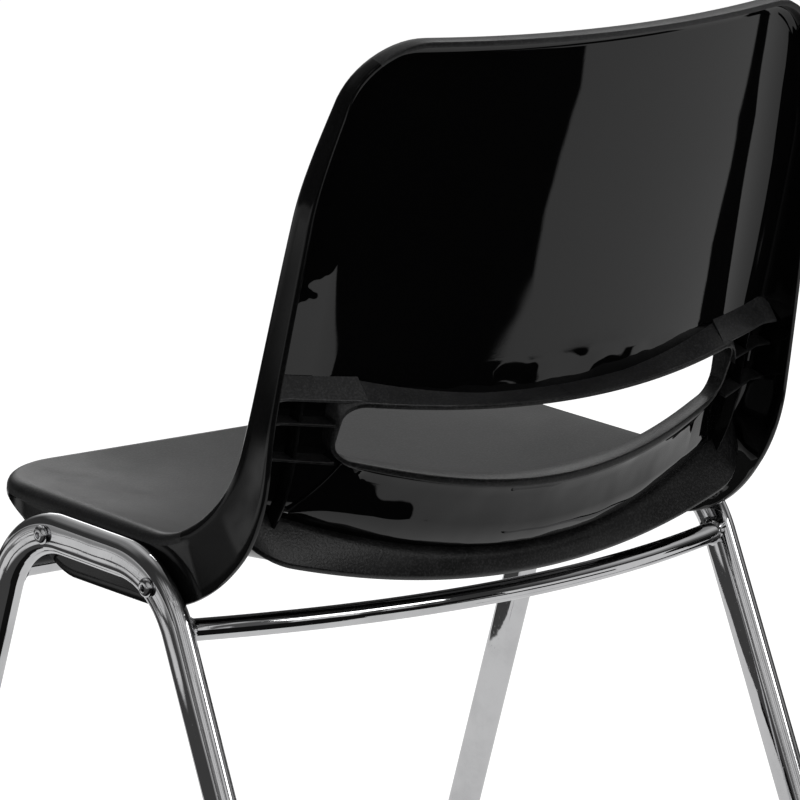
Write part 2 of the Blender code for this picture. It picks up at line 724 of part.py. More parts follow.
def build_cross_bar(name, height, bow, front, material, parent):
    """Round tube between the legs, coped to them, with vent holes underneath."""
    path = frame_path()
    place = path_crossing(path if front else list(reversed(path)), 1, height)
    radius = BAR_DIAMETER / 2
    outer = bar_rings(place, bow, radius, WELD_SIZE)
    inner = bar_rings(place, bow, radius - BAR_WALL, 0.0)
    bar = mesh_object(name, *hollow(outer, inner), material, parent)
    reach = frame_x(1, height)
    for side, sign in SIDES.items():
        cope = lowered(tube_rings(path, TUBE_DEPTH + 2 * FIT_GAP, TUBE_WIDTH + 2 * FIT_GAP))
        cutter = mesh_object(f"{name}_cope_{side}", *loft(cope), material, parent)
        place_in_frame(cutter, sign)
        combine(bar, cutter, "DIFFERENCE")
        share = 1 - VENT_OFFSET / reach
        centre = Vector((sign * reach * share, place.x + bow * (1 - share * share)))
        rings = [[Vector((centre.x + VENT_DIAMETER / 2 * u, centre.y + VENT_DIAMETER / 2 * v, z))
                  for u, v in circle(VENT_SIDES)] for z in (height - BAR_DIAMETER, height)]
        combine(bar, mesh_object(f"{name}_vent_{side}", *loft(rings), material, parent), "DIFFERENCE")


# Fasteners

def screw_places():
    """Name, side sign and (y, z) of each screw on the frame's centre line."""
    path = frame_path()
    spots = {"front": path_crossing(path, 0, FRONT_CORNER_Y + FRONT_SCREW_OFFSET),
             "rear": path_crossing(path, 0, -REAR_SCREW_OFFSET)}
    return [(f"{end}_{side}", sign, spot) for end, spot in spots.items() for side, sign in SIDES.items()]


def turned_rings(profile, place, sides=ROUND_SIDES):
    """Rings about an axis along X through (y, z), from (x, radius) stations."""
    return [[Vector((x, place.x + radius * u, place.y + radius * v)) for u, v in circle(sides)]
            for x, radius in profile]


def cross_cylinder(name, diameter, start, end, place, material, parent):
    rings = turned_rings([(start, diameter / 2), (end, diameter / 2)], place)
    return mesh_object(name, *loft(rings), material, parent)


def build_screw(name, sign, place, material, parent):
    seat = frame_x(1, place.y) + TUBE_WIDTH / 2 + FIT_GAP
    tip = SEAT_WIDTH / 2 - SHELL_WALL - FIT_GAP - NUT_HEIGHT - SCREW_TIP
    head = SCREW_HEAD_DIAMETER / 2
    shank = SCREW_DIAMETER / 2
    profile = [(tip, shank - SCREW_CHAMFER), (tip + SCREW_CHAMFER, shank), (seat, shank)]
    flat = CROWN_FLAT_DIAMETER / 2
    for step in range(CROWN_STEPS + 1):
        angle = pi / 2 * step / CROWN_STEPS
        profile.append((seat + SCREW_HEAD_HEIGHT * sin(angle), flat + (head - flat) * cos(angle)))
    rings = turned_rings([(sign * x, radius) for x, radius in profile], place)
    screw = mesh_object(f"seat_screw_{name}", *loft(rings), material, parent)
    socket_radius = SOCKET_WIDTH / sqrt(3)
    face = seat + SCREW_HEAD_HEIGHT
    key = turned_rings([(sign * (face - SOCKET_DEPTH), socket_radius),
                        (sign * (face + SOCKET_DEPTH), socket_radius)], place, HEX_SIDES)
    combine(screw, mesh_object(f"socket_{name}", *loft(key), material, parent), "DIFFERENCE")


def build_nut(name, sign, place, material, parent):
    seat = SEAT_WIDTH / 2 - SHELL_WALL - FIT_GAP
    step = seat - NUT_FLANGE_HEIGHT
    nut = cross_cylinder(f"flange_nut_{name}", NUT_FLANGE_DIAMETER, sign * seat, sign * step, place,
                         material, parent)
    hexagon = turned_rings([(sign * (seat - NUT_FLANGE_HEIGHT / 2), NUT_WIDTH / sqrt(3)),
                            (sign * (seat - NUT_HEIGHT), NUT_WIDTH / sqrt(3))], place, HEX_SIDES)
    combine(nut, mesh_object(f"nut_body_{name}", *loft(hexagon), material, parent), "UNION")
    bore = cross_cylinder(f"nut_bore_{name}", SCREW_DIAMETER + 2 * FIT_GAP, sign * (seat + NUT_HEIGHT),
                          sign * (seat - 2 * NUT_HEIGHT), place, material, parent)
    combine(nut, bore, "DIFFERENCE")


# Glides

def glide_rings(front):
    """Level oval sections of a glide, from the floor up into the leg, before the side lean."""
    foot = frame_corners()[0 if front else 3]
    splay = FRONT_SPLAY if front else -REAR_SPLAY
    outer = GLIDE_LIP
    plug = -TUBE_WALL - FIT_GAP
    shoulder = GLIDE_HEIGHT - FIT_GAP
    top = GLIDE_HEIGHT + GLIDE_PLUG
    stations = [(0.0, outer - GLIDE_BEVEL), (GLIDE_BEVEL, outer), (shoulder, outer),
                (shoulder, plug), (top - PLUG_TAPER, plug), (top, plug - PLUG_TAPER)]
    rings = []
    for z, grow in stations:
        centre = foot.x + (z - GLIDE_HEIGHT) * tan(splay)
        rings.append([Vector((v, centre + u / cos(splay), z))
                      for u, v in flat_oval(TUBE_DEPTH + 2 * grow, TUBE_WIDTH + 2 * grow)])
    return rings


def build_glide(end, side, sign, material, parent):
    rings = [[Vector((frame_x(sign, point.z) + point.x, point.y, point.z)) for point in ring]
             for ring in glide_rings(end == "front")]
    mesh_object(f"foot_glide_{end}_{side}", *loft(rings), material, parent)


def footprint_middle():
    """Middle of the chair's length, which its feet set."""
    lengths = [point.y for front in (True, False) for ring in glide_rings(front) for point in ring]
    return (min(lengths) + max(lengths)) / 2


def main():
    clear_scene()
    chair = bpy.data.objects.new("chair", None)
    bpy.context.scene.collection.objects.link(chair)
    chair.location = (0.0, -footprint_middle(), 0.0)
    black = plain_material("black_polypropylene", (0.012, 0.012, 0.013), 0.22, 0.0)
    chrome = plain_material("chrome_plate", (0.80, 0.80, 0.81), 0.07, 1.0)
    zinc = plain_material("zinc_plate", (0.55, 0.56, 0.58), 0.35, 1.0)
    grip = plain_material("black_polyethylene", (0.02, 0.02, 0.02), 0.55, 0.0)
    build_shell(black, chair)
    for side, sign in SIDES.items():
        build_side_frame(side, sign, chrome, chair)
        for end in ("front", "rear"):
            build_glide(end, side, sign, grip, chair)
    build_cross_bar("front_cross_bar", FRONT_CORNER_Z - FRONT_BAR_DROP, 0.0, True, chrome, chair)
    build_cross_bar("rear_cross_bar", REAR_CORNER_Z - REAR_BAR_DROP, REAR_BAR_BOW, False, chrome, chair)
    for name, sign, place in screw_places():
        build_screw(name, sign, place, chrome, chair)
        build_nut(name, sign, place, zinc, chair)
    bpy.context.view_layer.update()


main()
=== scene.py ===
"""Looks of a children's stacking chair: a black moulded shell on a chromed frame of flat-oval tube."""

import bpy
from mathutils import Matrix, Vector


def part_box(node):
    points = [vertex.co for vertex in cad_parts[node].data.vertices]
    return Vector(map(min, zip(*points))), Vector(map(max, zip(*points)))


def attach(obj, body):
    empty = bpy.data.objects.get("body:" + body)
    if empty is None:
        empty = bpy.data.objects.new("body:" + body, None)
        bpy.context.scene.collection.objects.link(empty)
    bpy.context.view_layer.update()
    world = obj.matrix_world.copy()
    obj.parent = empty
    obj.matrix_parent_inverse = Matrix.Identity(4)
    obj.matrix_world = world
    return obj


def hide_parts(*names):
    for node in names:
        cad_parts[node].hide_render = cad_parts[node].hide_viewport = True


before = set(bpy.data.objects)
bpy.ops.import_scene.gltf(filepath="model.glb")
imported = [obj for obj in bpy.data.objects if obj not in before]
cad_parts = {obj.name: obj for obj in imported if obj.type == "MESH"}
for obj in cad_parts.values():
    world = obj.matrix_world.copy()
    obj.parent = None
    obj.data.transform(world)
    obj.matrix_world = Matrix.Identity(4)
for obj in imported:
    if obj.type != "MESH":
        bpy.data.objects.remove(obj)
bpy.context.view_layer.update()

from collections import namedtuple
from functools import lru_cache
from math import cos, pi, radians, sin, sqrt, tan

import bmesh
import bpy
from mathutils import Vector

# Shell: the crease line along each side, seen from the side, in metres
SEAT_HEIGHT = 0.356
SEAT_RUN = 0.162
SEAT_PITCH = radians(2.3)
BEND_RADIUS = 0.080
BACK_RUN = 0.2352
BACK_RECLINE = radians(16.5)

# Shell: cross sections
SEAT_WIDTH = 0.381
WAIST_WIDTH = 0.368
SHOULDER_WIDTH = 0.363
TOP_WIDTH = 0.322
WAIST_START = 0.35
SHOULDER_SHARE = 0.60
SEAT_DISH = 0.030
BEND_DISH = 0.052
WAIST_DISH = 0.036
TOP_DISH = 0.019
FRONT_CORNER_RADIUS = 0.042
TOP_CORNER_RADIUS = 0.0285
SHELL_WALL = 0.0035

# Shell: the turned edge
FRONT_LIP_DEPTH = 0.011
FRONT_LIP_SHARE = 0.4
SKIRT_DEPTH = 0.044
SKIRT_SHARE = 0.58
CORNER_FLANGE_DEPTH = 0.041
WAIST_FLANGE_DEPTH = 0.031
TOP_FLANGE_DEPTH = 0.0145
WAIST_FLANGE_DRAFT = 0.16
FRONT_CREASE = 0.008
SEAT_CREASE = 0.009
BACK_CREASE = 0.012
RIM_RADIUS = 0.0010
CREASE_SATIN_SHARE = 0.3    # share of the bend up to which the crease is satin like the sitting face
TOP_SATIN_SHARE = 0.3       # share of the top corners' radius over which the top edge is satin

# Shell: hand slot and stiffening behind it
SLOT_LENGTH = 0.280
SLOT_HEIGHT = 0.040
SLOT_RISE = 0.0124
SLOT_TOP_CURVE = 0.008
SLOT_BOTTOM_CURVE = 0.018
SLOT_CORNER_RADIUS = 0.012
COLLAR_WALL = 0.003
COLLAR_DEPTH = 0.0175
COLLAR_ROUND = 0.0009
COLLAR_FOOT = 0.0006        # depth in the sheet at which the collar's outer face starts
COLLAR_OVERLAP = 0.7 * COLLAR_WALL      # how far the band and the lip beside it reach into its wall
SLOT_CUT_DEPTHS = (-2 * COLLAR_DEPTH, 3 * COLLAR_DEPTH)
LIP_DEPTH = 0.0095
LIP_BLEND = 0.012
SHELF_THICKNESS = 0.0015
SHELF_CURVE = 0.028
SIDE_SHELF_RISE = 0.0499
SIDE_SHELF_DROP = 0.010
RIB_WALL = 0.0016
RIB_DEPTH = 0.0160
RIB_ROUND = 0.0006
UPPER_RIB_RISE = 0.0238
LOWER_RIB_RISE = 0.0019
SPINE_OFFSET = 0.161
PANEL_DEPTH = 0.0065
PANEL_TURN = radians(48)
PANEL_CURVE = 0.010
PANEL_SHOULDER = 0.130
PANEL_END_SLOPE = 1.2
PANEL_ROUND = 0.0012
PANEL_LEAN = 0.0019         # how much further out its lower edge stands than its upper one
PANEL_FOOT = 0.008          # strip along its lower edge that turns back in
PANEL_FOOT_FALL = 0.0008
WEB_TURN = radians(46)
WEB_WALL = 0.005
WEB_HALF_LENGTH = 0.185
WEB_EDGE_DEPTH = 0.010
WEB_EDGE_FALL = 0.0069
WEB_EDGE_CURVE = 0.0066
WEB_DEPTH = 0.017
WEB_END_GAIN = 0.0206
WEB_FALL = 0.004
WEB_CORNER = 0.030
WEB_END_SHARE = 0.05
WEB_ROUND = 0.0009
WEB_BEVEL = 0.0030

# Frame
TUBE_DEPTH = 0.0235
TUBE_WIDTH = 0.013
TUBE_BULGE = 0.14           # how much narrower than the middle the tube's edges would be, as a share
TUBE_EDGE_SHARE = 0.4999    # radius of its edges over its width, just under a half so that no points meet
TUBE_BEND_RADIUS = 0.058
RAIL_LENGTH = 0.137
RAIL_DROP = 0.019
RAIL_PITCH = radians(1.7)
SEAT_OVERHANG = 0.050
FRONT_SPLAY = radians(19.7)
REAR_SPLAY = radians(24.6)
SIDE_SPLAY = radians(0.8)
BAR_DIAMETER = 0.0127
FRONT_BAR_DROP = 0.030
REAR_BAR_DROP = 0.031
REAR_BAR_BOW = 0.039
VENT_DIAMETER = 0.004
VENT_OFFSET = 0.016
WELD_LEG = 0.0030           # how far a weld bead spreads along the bar and over the leg
WELD_SINK = 0.0004          # how far it reaches into the bar
WELD_BITE = 0.0006          # and into the leg
WELD_ROUND = 0.0004
WELD_WAIST = 0.30           # how full the bead is between its two edges, as a share of its leg
WELD_RIPPLES = 9
WELD_RIPPLE_SHARE = 0.22
WELD_LUMPS = 3
WELD_LUMP_SHARE = 0.10
WELD_LUMP_TURN = 0.7
WELD_SEED = 3
FIT_GAP = 0.0003

# Fasteners and feet
SCREW_DIAMETER = 0.006
SCREW_HEAD_DIAMETER = 0.011
SCREW_HEAD_HEIGHT = 0.0033
CROWN_FLAT_DIAMETER = 0.0055
HEAD_RIM = 0.0009
HEAD_CHAMFER = 0.0002
SHANK_CHAMFER = 0.0005
SOCKET_WIDTH = 0.004
SOCKET_DEPTH = 0.002
SCREW_LENGTH = 0.0255
FRONT_SCREW_OFFSET = 0.031
REAR_SCREW_OFFSET = 0.005
SCREW_SEED = 11
NUT_WIDTH = 0.010
NUT_HEIGHT = 0.006
NUT_FLANGE_DIAMETER = 0.014
NUT_FLANGE_HEIGHT = 0.0015
NUT_FLANGE_EDGE = 0.6       # share of the flange's height that its edge is straight
NUT_ROOT = 1.06             # widths where the flange ends, at the chamfered end and over the corners,
NUT_END = 0.97              # as shares of the width over the flats
NUT_CORNER = 1.12
NUT_CHAMFER = 0.0005
NUT_SEED = 5
GLIDE_HEIGHT = 0.010
GLIDE_LIP = 0.001
GLIDE_BEVEL = 0.0015
GLIDE_BEVEL_TURN = 0.3      # share of the bevel at which it turns
GLIDE_SHOULDER = 0.0006
GLIDE_SHOULDER_TURN = (0.0001, 0.0002)  # where it turns, under its top and in from its side

# Gloss of the back: how it rolls out towards the side edges, above the slot; heights come with a blur
EDGE_ROLL_OFFSET = 0.1235   # from the middle to where the roll starts
EDGE_ROLL_GAIN = 400.0      # its slope for each square metre of the way into it
EDGE_ROLL_REACH = 0.038     # way into it after which it goes straight on, less on the left
EDGE_ROLL_LEFT_LOSS = 0.008
EDGE_ROLL_MIDDLE = (0.0, 0.01)
EDGE_ROLL_LOW = (0.4465, 0.004)
EDGE_ROLL_LEFT_HIGH = (0.5425, 0.002)   # ragged upper end on the left side, where the roll starts
EDGE_ROLL_LEFT_FALL = 1.1   # how that end falls on the way out
RAGGED_REACH = 0.05
EDGE_TILT_TOP = 0.54        # height under which the right edge is also tilted, more and more
EDGE_TILT_FADE = (0.035, -0.005)
EDGE_TILT = 0.6             # slope for each metre of the way into the roll
EDGE_TILT_GROWTH = 410.0    # and its growth with the square of the way down
EDGE_TILT_UNIT = 0.25       # slope of a layer of full strength
PANEL_WAVE = 0.0022         # depth of the slow waves in the lower panel's gloss

# Finishes: patterns as repeats for each metre, detail and roughness; windows are what of a pattern counts
WAVE_PATTERN = (26.0, 1.0, 0.4)
PANEL_PATTERN = (26.0, 1.5, 0.5)
RAGGED_PATTERN = (70.0, 1.5, 0.5)
GRAIN_DETAIL = (3.0, 0.55)
RUB_PATTERN = (14.0, 4.0, 0.62)
RUB_WINDOW = (0.35, 0.75)
RUB_SHARE = 0.4             # share of the wear that is rubbed, the rest is dust
DUST_PATTERN = (800.0, 2.0, 0.5)
DUST_WINDOW = (0.44, 0.66)
PLASTIC_SHEEN = 1.49
HAZE_PATTERN = (38.0, 4.0, 0.6)
HAZE_WINDOW = (0.35, 0.75)
HAZE_ROUGH_WINDOW = (0.4, 0.8)
SCUFF_PATTERN = (420.0, 3.0, 0.65)
SCUFF_WINDOW = (0.63, 0.72)
SCUFF_ROUGHNESS = 0.10
SCUFF_DEPTH = 0.000004
DRAWING_PATTERN = (90.0, 2.0, 0.5)      # waves that drawing leaves in a tube
BEND_PATTERN = (17.0, 1.0, 0.5)         # slower waves that bending leaves
BEND_GAIN = 60                          # and how many times deeper they are
BEND_HEIGHTS = (0.21, 0.29)             # from where to where up the frame they come in
STRAIGHT_SHARE = 0.12                   # what is left of them below
TUBE_RIPPLE = 0.00002
WELD_RIPPLE = 0.00012
SCREW_RIPPLE = 0.00001
CHROME_ROUGHNESS = (0.030, 0.075)
CHROME_COLOURS = ((0.72, 0.72, 0.73), (0.64, 0.64, 0.65))
ZINC_PATTERN = 900.0
ZINC_WINDOW = (0.1, 0.7)
ZINC_ROUGHNESS = (0.28, 0.44)
ZINC_DEPTH = 0.00002
ZINC_COLOURS = ((0.62, 0.63, 0.66), (0.46, 0.47, 0.50))
FOOT_PATTERN = (600.0, 4.0, 0.7)
FOOT_WINDOW = (0.45, 0.65)
FOOT_SCUFF_HEIGHT = 0.004
FOOT_ROUGHNESS = (0.5, 0.2)             # plain, and what scuffs add
FOOT_DEPTH = 0.00004
FOOT_COLOURS = ((0.018, 0.018, 0.018), (0.10, 0.10, 0.098))

# Finishes of the moulding, in the order of its material slots
SATIN, SLEEK, GLOSS, GRAIN, GRAIN_SHADED = range(5)
MOULDINGS = [
    dict(name="moulding_satin", colour=(0.008, 0.008, 0.0085), worn=(0.030, 0.030, 0.031),
         roughness=(0.40, 0.50), grain=(0.0013, 0.00010), wave_depth=0.00004),
    dict(name="moulding_sleek", colour=(0.0024, 0.0024, 0.0025), worn=(0.0056, 0.0056, 0.0058),
         roughness=(0.07, 0.12), grain=(0.0008, 0.000008), wave_depth=0.00012, sheen=1.34),
    dict(name="moulding_gloss", colour=(0.0010, 0.0010, 0.0011), worn=(0.0018, 0.0018, 0.0019),
         roughness=(0.018, 0.034), grain=(0.0010, 0.000002), wave_depth=0.00006, rolled=True),
    dict(name="moulding_grain", colour=(0.010, 0.010, 0.0105), worn=(0.034, 0.034, 0.035),
         roughness=(0.34, 0.46), grain=(0.0013, 0.00010), wave_depth=0.00003),
    # Darker copy of the grain finish, worn by the collar, the crescent web and the ribs: painted shade in
    # the colour of these recessed parts
    dict(name="moulding_crescent", colour=(0.002, 0.002, 0.0021), worn=(0.022, 0.022, 0.0225),
         roughness=(0.30, 0.42), grain=(0.0013, 0.00014), wave_depth=0.00003, sheen=1.36)]

# Fineness of the meshes
COLUMNS = 80
CORNER_STEPS = 14
SEAT_STEPS = 26
BEND_STEPS = 40
BACK_STEPS = 64
CREASE_STEPS = 8
SKIRT_STEPS = 8
RIM_STEPS = 3
EASE_STEPS = 3
EASE_LIMIT = 2.1            # a side is over this many times as long as the turn at its end
SLOT_STEPS = 72
SLOT_CORNER_STEPS = 10
SLOT_END_STEPS = 6
PANEL_STEPS = 36
PANEL_END_STEPS = 10
BASE_STEPS = 8
WEB_STEPS = 48
RIB_STEPS = 12
SPINE_STEPS = 24
TUBE_EDGE_STEPS = 10
TUBE_FLAT_CUTS = 2
TUBE_BEND_STEPS = 40
LEG_STEPS = 24
BAR_STEPS = 96
ROUND_SIDES = 48
CROWN_STEPS = 8
SHARP_ANGLE = radians(32)
MERGE_DISTANCE = 1e-6

# Camera: where it stands round the chair and how far off
VIEW_TURN = radians(38.22)
VIEW_RISE = radians(12.06)
VIEW_DISTANCE = 3.369
VIEW_TARGET = Vector((0.0461, 0.07215, 0.4129))
VIEW_LENS = 270.0
VIEW_END = 100.0
SENSOR = 36.0

# Floor: the white paper on it, in metres towards the camera (near) and to the picture's right (aside)
FLOOR_HALF = 20.0
PAPER_BLUR = 0.006
RIGHT_SHEET_RIM = (0.345, (0.935, 0.62), (1.25, 0.3))   # level, then a corner and the slope past it,
MIDDLE_SHEET_RIM = (0.345, (0.0, -0.88), (0.35, 0.9))   # on the left and on the right
GAP_RIM = (-0.368, (1.17, -0.4), (1.45, -0.37))
GAP_BLUR = 0.004
GAP_SIDE = 0.94
RIGHT_SHEET_SIDE = (-1.057, 1.0, 0.2)                   # level, share of aside and share of near
RIGHT_SHEET_SWEEP = 0.95
MIDDLE_SHEET_SIDE = (0.838, -1.0, -0.35)
MIDDLE_SHEET_CORNER = (0.972, -0.9, -1.0)
COVERED_SIDE = (0.56, 1.0, -0.26)
REAR_SHEET_RIM = -0.12
LEFT_SHEET_SIDE = (-1.08, 0.05)                         # place and blur
LEFT_SHEET_RIM = (-0.13, 0.03)
LEFT_SHEET_FADE = (-2.1, 0.3)
LEFT_FLOOR_SIDE = (-1.7, 0.3)
FAR_FLOOR_SIDE = (-4.0, 1.6)
FLOOR_END = (-0.85, 0.2)
TORN_PATTERN = 4.5
TORN_SHARE = (0.43, 0.03)

# Floor: what it sends to the eye and to mirrors
FLOOR_COLOUR = (0.90, 0.90, 0.90, 1.0)
FLOOR_GLOW = 0.53
PAPER_LIGHT = 0.66
DARK_LIGHT = 0.007
LEFT_SHEET_LIGHT = 0.62
LEFT_SHEET_LOSS = 0.42
LEFT_FLOOR_LIGHT = 0.20
FAR_FLOOR_LIGHT = 0.35
DIM_LIGHT = 0.045
DIMMEST_LIGHT = 0.004

# Room: directions as a place and a blur, and what it sends to mirrors and to matt surfaces
BACKDROP_NEAR = (-0.05, 0.3)
BACKDROP_FOOT = (0.26, 0.2)
BACKDROP_TOP = (0.48, 0.12)
BACKDROP_LEFT_END = (-0.4, 0.25)
BACKDROP_MIDDLE = (0.01, 0.06)
BACKDROP_LIGHT = 0.55
BACKDROP_LEFT_GAIN = 0.7
BACKDROP_TOP_LOSS = 0.7
GLOW_NEAR = (-0.1, 0.2)
GLOW_SIDE = (-0.15, 0.2)
GLOW_LIGHT = 0.18
ROOM_NEAR = (0.45, 0.2)
ROOM_FOOT = (0.08, 0.08)
ROOM_BARS = (16.0, 1.5)     # repeats of the bars across and up
ROOM_BAR_SHARE = (0.5, 0.06)
ROOM_BAR_LIGHT = 0.6
ROOM_LIGHT = 0.05
ROOM_HAZE = 0.04
SOFT_LIGHT = 0.55
WHITE = (1.0, 1.0, 1.0, 1.0)
SOFT_BOXES = {              # place, size and power
    "soft_box_above": ((-1.4, -0.6, 2.3), (0.9, 0.6), 8.0),
    "soft_box_behind": ((-0.57, 1.94, 1.41), (0.9, 0.5), 5.0),
    "soft_box_front": ((-0.23, -0.68, 0.59), (0.3, 0.2), 0.22)}

# Lengths along the crease line
ROOT_DEPTH = SHELL_WALL / 2
BEND_SWEEP = pi / 2 - BACK_RECLINE + SEAT_PITCH
BEND_START = SEAT_RUN
BEND_END = BEND_START + BEND_RADIUS * BEND_SWEEP
SHELL_RUN = BEND_END + BACK_RUN
CREASE_SATIN_END = BEND_START + CREASE_SATIN_SHARE * (BEND_END - BEND_START)
TOP_SATIN_START = SHELL_RUN - TOP_SATIN_SHARE * TOP_CORNER_RADIUS
SLOT_CENTRE = BEND_END + SLOT_RISE
SLOT_BOTTOM = SLOT_CENTRE - SLOT_HEIGHT / 2
SLOT_TOP = SLOT_CENTRE + SLOT_HEIGHT / 2
PANEL_STATION = BEND_START + BEND_RADIUS * (PANEL_TURN + SEAT_PITCH)
WEB_STATION = BEND_START + BEND_RADIUS * (WEB_TURN + SEAT_PITCH)

# Places in the frame, taken from where the shell's front edge lies
SHELL_FRONT_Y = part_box("shell")[0][1]
SEAT_CREST_Y = SHELL_FRONT_Y + FRONT_CREASE * cos(SEAT_PITCH) + FRONT_LIP_DEPTH * sin(SEAT_PITCH)
FRONT_CORNER_Y = SEAT_CREST_Y + SEAT_OVERHANG
FRONT_CORNER_Z = SEAT_HEIGHT - RAIL_DROP
REAR_CORNER_Y = FRONT_CORNER_Y + RAIL_LENGTH
REAR_CORNER_Z = FRONT_CORNER_Z - RAIL_LENGTH * tan(RAIL_PITCH)
FRAME_X = SEAT_WIDTH / 2 + FIT_GAP + TUBE_WIDTH / 2
SIDES = {"left": 1, "right": -1}


def operator(operation, reflected=False):
    """Method that adds one Math node on a value and another one."""
    def work(self, other):
        first, second = (other, self) if reflected else (self, other)
        return self.graph.node("ShaderNodeMath", {"operation": operation}, {0: first, 1: second})
    return work


class Value:
    """A socket that takes part in plain arithmetic; each operation adds a node."""

    def __init__(self, graph, socket):
        self.graph = graph
        self.socket = socket

    __add__, __radd__ = operator("ADD"), operator("ADD", True)
    __sub__, __rsub__ = operator("SUBTRACT"), operator("SUBTRACT", True)
    __mul__, __rmul__ = operator("MULTIPLY"), operator("MULTIPLY", True)
    __truediv__, __rtruediv__ = operator("DIVIDE"), operator("DIVIDE", True)
    __pow__, __rpow__ = operator("POWER"), operator("POWER", True)
    larger = operator("MAXIMUM")
    smaller = operator("MINIMUM")

    def axis(self, name):
        return self.graph.node("ShaderNodeSeparateXYZ", None, {0: self}, name)

    def along(self, direction):
        return self.graph.node("ShaderNodeVectorMath", {"operation": "DOT_PRODUCT"},
                               {0: self, 1: direction}, "Value")

    def eased(self, low, high, start=0.0, end=1.0):
        """The value taken smoothly from start to end as it goes from low to high."""
        return self.graph.node("ShaderNodeMapRange", {"interpolation_type": "SMOOTHSTEP"},
                               {"Value": self, "From Min": low, "From Max": high,
                                "To Min": start, "To Max": end})

    def above(self, level, blur=PAPER_BLUR):
        """One where the value is above a level, with a soft edge."""
        return (self - level).eased(-blur, blur)

    def below(self, level, blur=PAPER_BLUR):
        """One where the value is below a level, with a soft edge."""
        return (level - self).eased(-blur, blur)


class Graph:
    """Builds the nodes of one tree."""

    def __init__(self, tree):
        self.tree = tree

    def node(self, kind, settings=None, sockets=None, out=0):
        """Any node: its settings first, then its sockets, by name or place; gives one of its outputs."""
        made = self.tree.nodes.new(kind)
        for name, setting in (settings or {}).items():
            setattr(made, name, setting)
        for key, value in (sockets or {}).items():
            self.feed(self.pick(made.inputs, key), value)
        return Value(self, self.pick(made.outputs, out)) if made.outputs else None

    @staticmethod
    def pick(sockets, key):
        if isinstance(key, int):
            return sockets[key]
        return next(socket for socket in sockets if socket.enabled and socket.name == key)

    def feed(self, socket, value):
        if isinstance(value, Value):
            self.tree.links.new(value.socket, socket)
        else:
            socket.default_value = value

    def noise(self, vector, scale, detail=2.0, roughness=0.5):
        """Soft random pattern from zero to one."""
        return self.node("ShaderNodeTexNoise", None, {"Vector": vector, "Scale": scale, "Detail": detail,
                                                      "Roughness": roughness})


class Finish(Graph):
    """A material under construction, round one Principled BSDF."""

    def __init__(self, name):
        self.material = bpy.data.materials.new(name)
        self.material.use_nodes = True
        super().__init__(self.material.node_tree)
        self.shader = self.tree.nodes["Principled BSDF"]
        self.place = self.node("ShaderNodeTexCoord", out="Object")

    def set(self, **sockets):
        for name, value in sockets.items():
            self.feed(self.shader.inputs[name.replace("_", " ")], value)

    def pattern(self, per_metre, detail, roughness):
        return self.noise(self.place, per_metre, detail, roughness)

    def blend(self, factor, first, second):
        return self.node("ShaderNodeMix", {"data_type": "RGBA"},
                         {"Factor": factor, "A": (*first, 1.0), "B": (*second, 1.0)}, "Result")

    def bumps(self, *layers):
        """Normal from (height, depth in metres, strength) layers, one over the other."""
        normal = None
        for height, depth, strength in layers:
            sockets = {"Height": height, "Distance": depth, "Strength": strength}
            if normal:
                sockets["Normal"] = normal
            normal = self.node("ShaderNodeBump", None, sockets)
        self.set(Normal=normal)


class PieceTree(Graph):
    """A Geometry Nodes tree with named inputs that ends in plain geometry with its finish."""

    def __init__(self, name, **inputs):
        super().__init__(bpy.data.node_groups.new(name, "GeometryNodeTree"))
        kinds = {"geometry": "Geometry", **inputs, "finish": "Material"}
        for title, kind in kinds.items():
            self.tree.interface.new_socket(title, in_out="INPUT", socket_type=f"NodeSocket{kind}")
        self.tree.interface.new_socket("geometry", in_out="OUTPUT", socket_type="NodeSocketGeometry")
        self.inputs = {title: self.node("NodeGroupInput", out=title) for title in kinds}

    def close(self, geometry):
        real = self.node("GeometryNodeRealizeInstances", None, {"Geometry": geometry})
        done = self.node("GeometryNodeSetMaterial", None,
                         {"Geometry": real, "Material": self.inputs["finish"]})
        self.node("NodeGroupOutput", None, {0: done})
        return self

    def put_on(self, thing, **values):
        """Add the tree to an object, with its inputs set by their identifiers."""
        modifier = thing.modifiers.new(self.tree.name, "NODES")
        modifier.node_group = self.tree
        for item in self.tree.interface.items_tree:
            if item.in_out == "INPUT" and item.name in values:
                modifier[item.identifier] = values[item.name]


# Finishes

def moulding(name, colour, worn, roughness, grain, wave_depth, sheen=PLASTIC_SHEEN, rolled=False):
    """Black moulded plastic with a moulded grain, slow waves in the surface, dust and rub marks."""
    finish = Finish(name)
    low_rough, high_rough = roughness
    grain_size, grain_depth = grain
    rubs = finish.pattern(*RUB_PATTERN).eased(*RUB_WINDOW)
    dust = finish.pattern(*DUST_PATTERN).eased(*DUST_WINDOW)
    wear = (rubs * RUB_SHARE + dust * (1 - RUB_SHARE)).smaller(1.0)
    finish.set(Base_Color=finish.blend(wear, colour, worn),
               Roughness=rubs * (high_rough - low_rough) + low_rough,
               IOR=sheen)
    finish.bumps(*(edge_rolls(finish) if rolled else []),
                 (finish.pattern(*WAVE_PATTERN), wave_depth, 1.0),
                 (finish.pattern(1.0 / grain_size, *GRAIN_DETAIL), grain_depth, 1.0))
    return finish.material


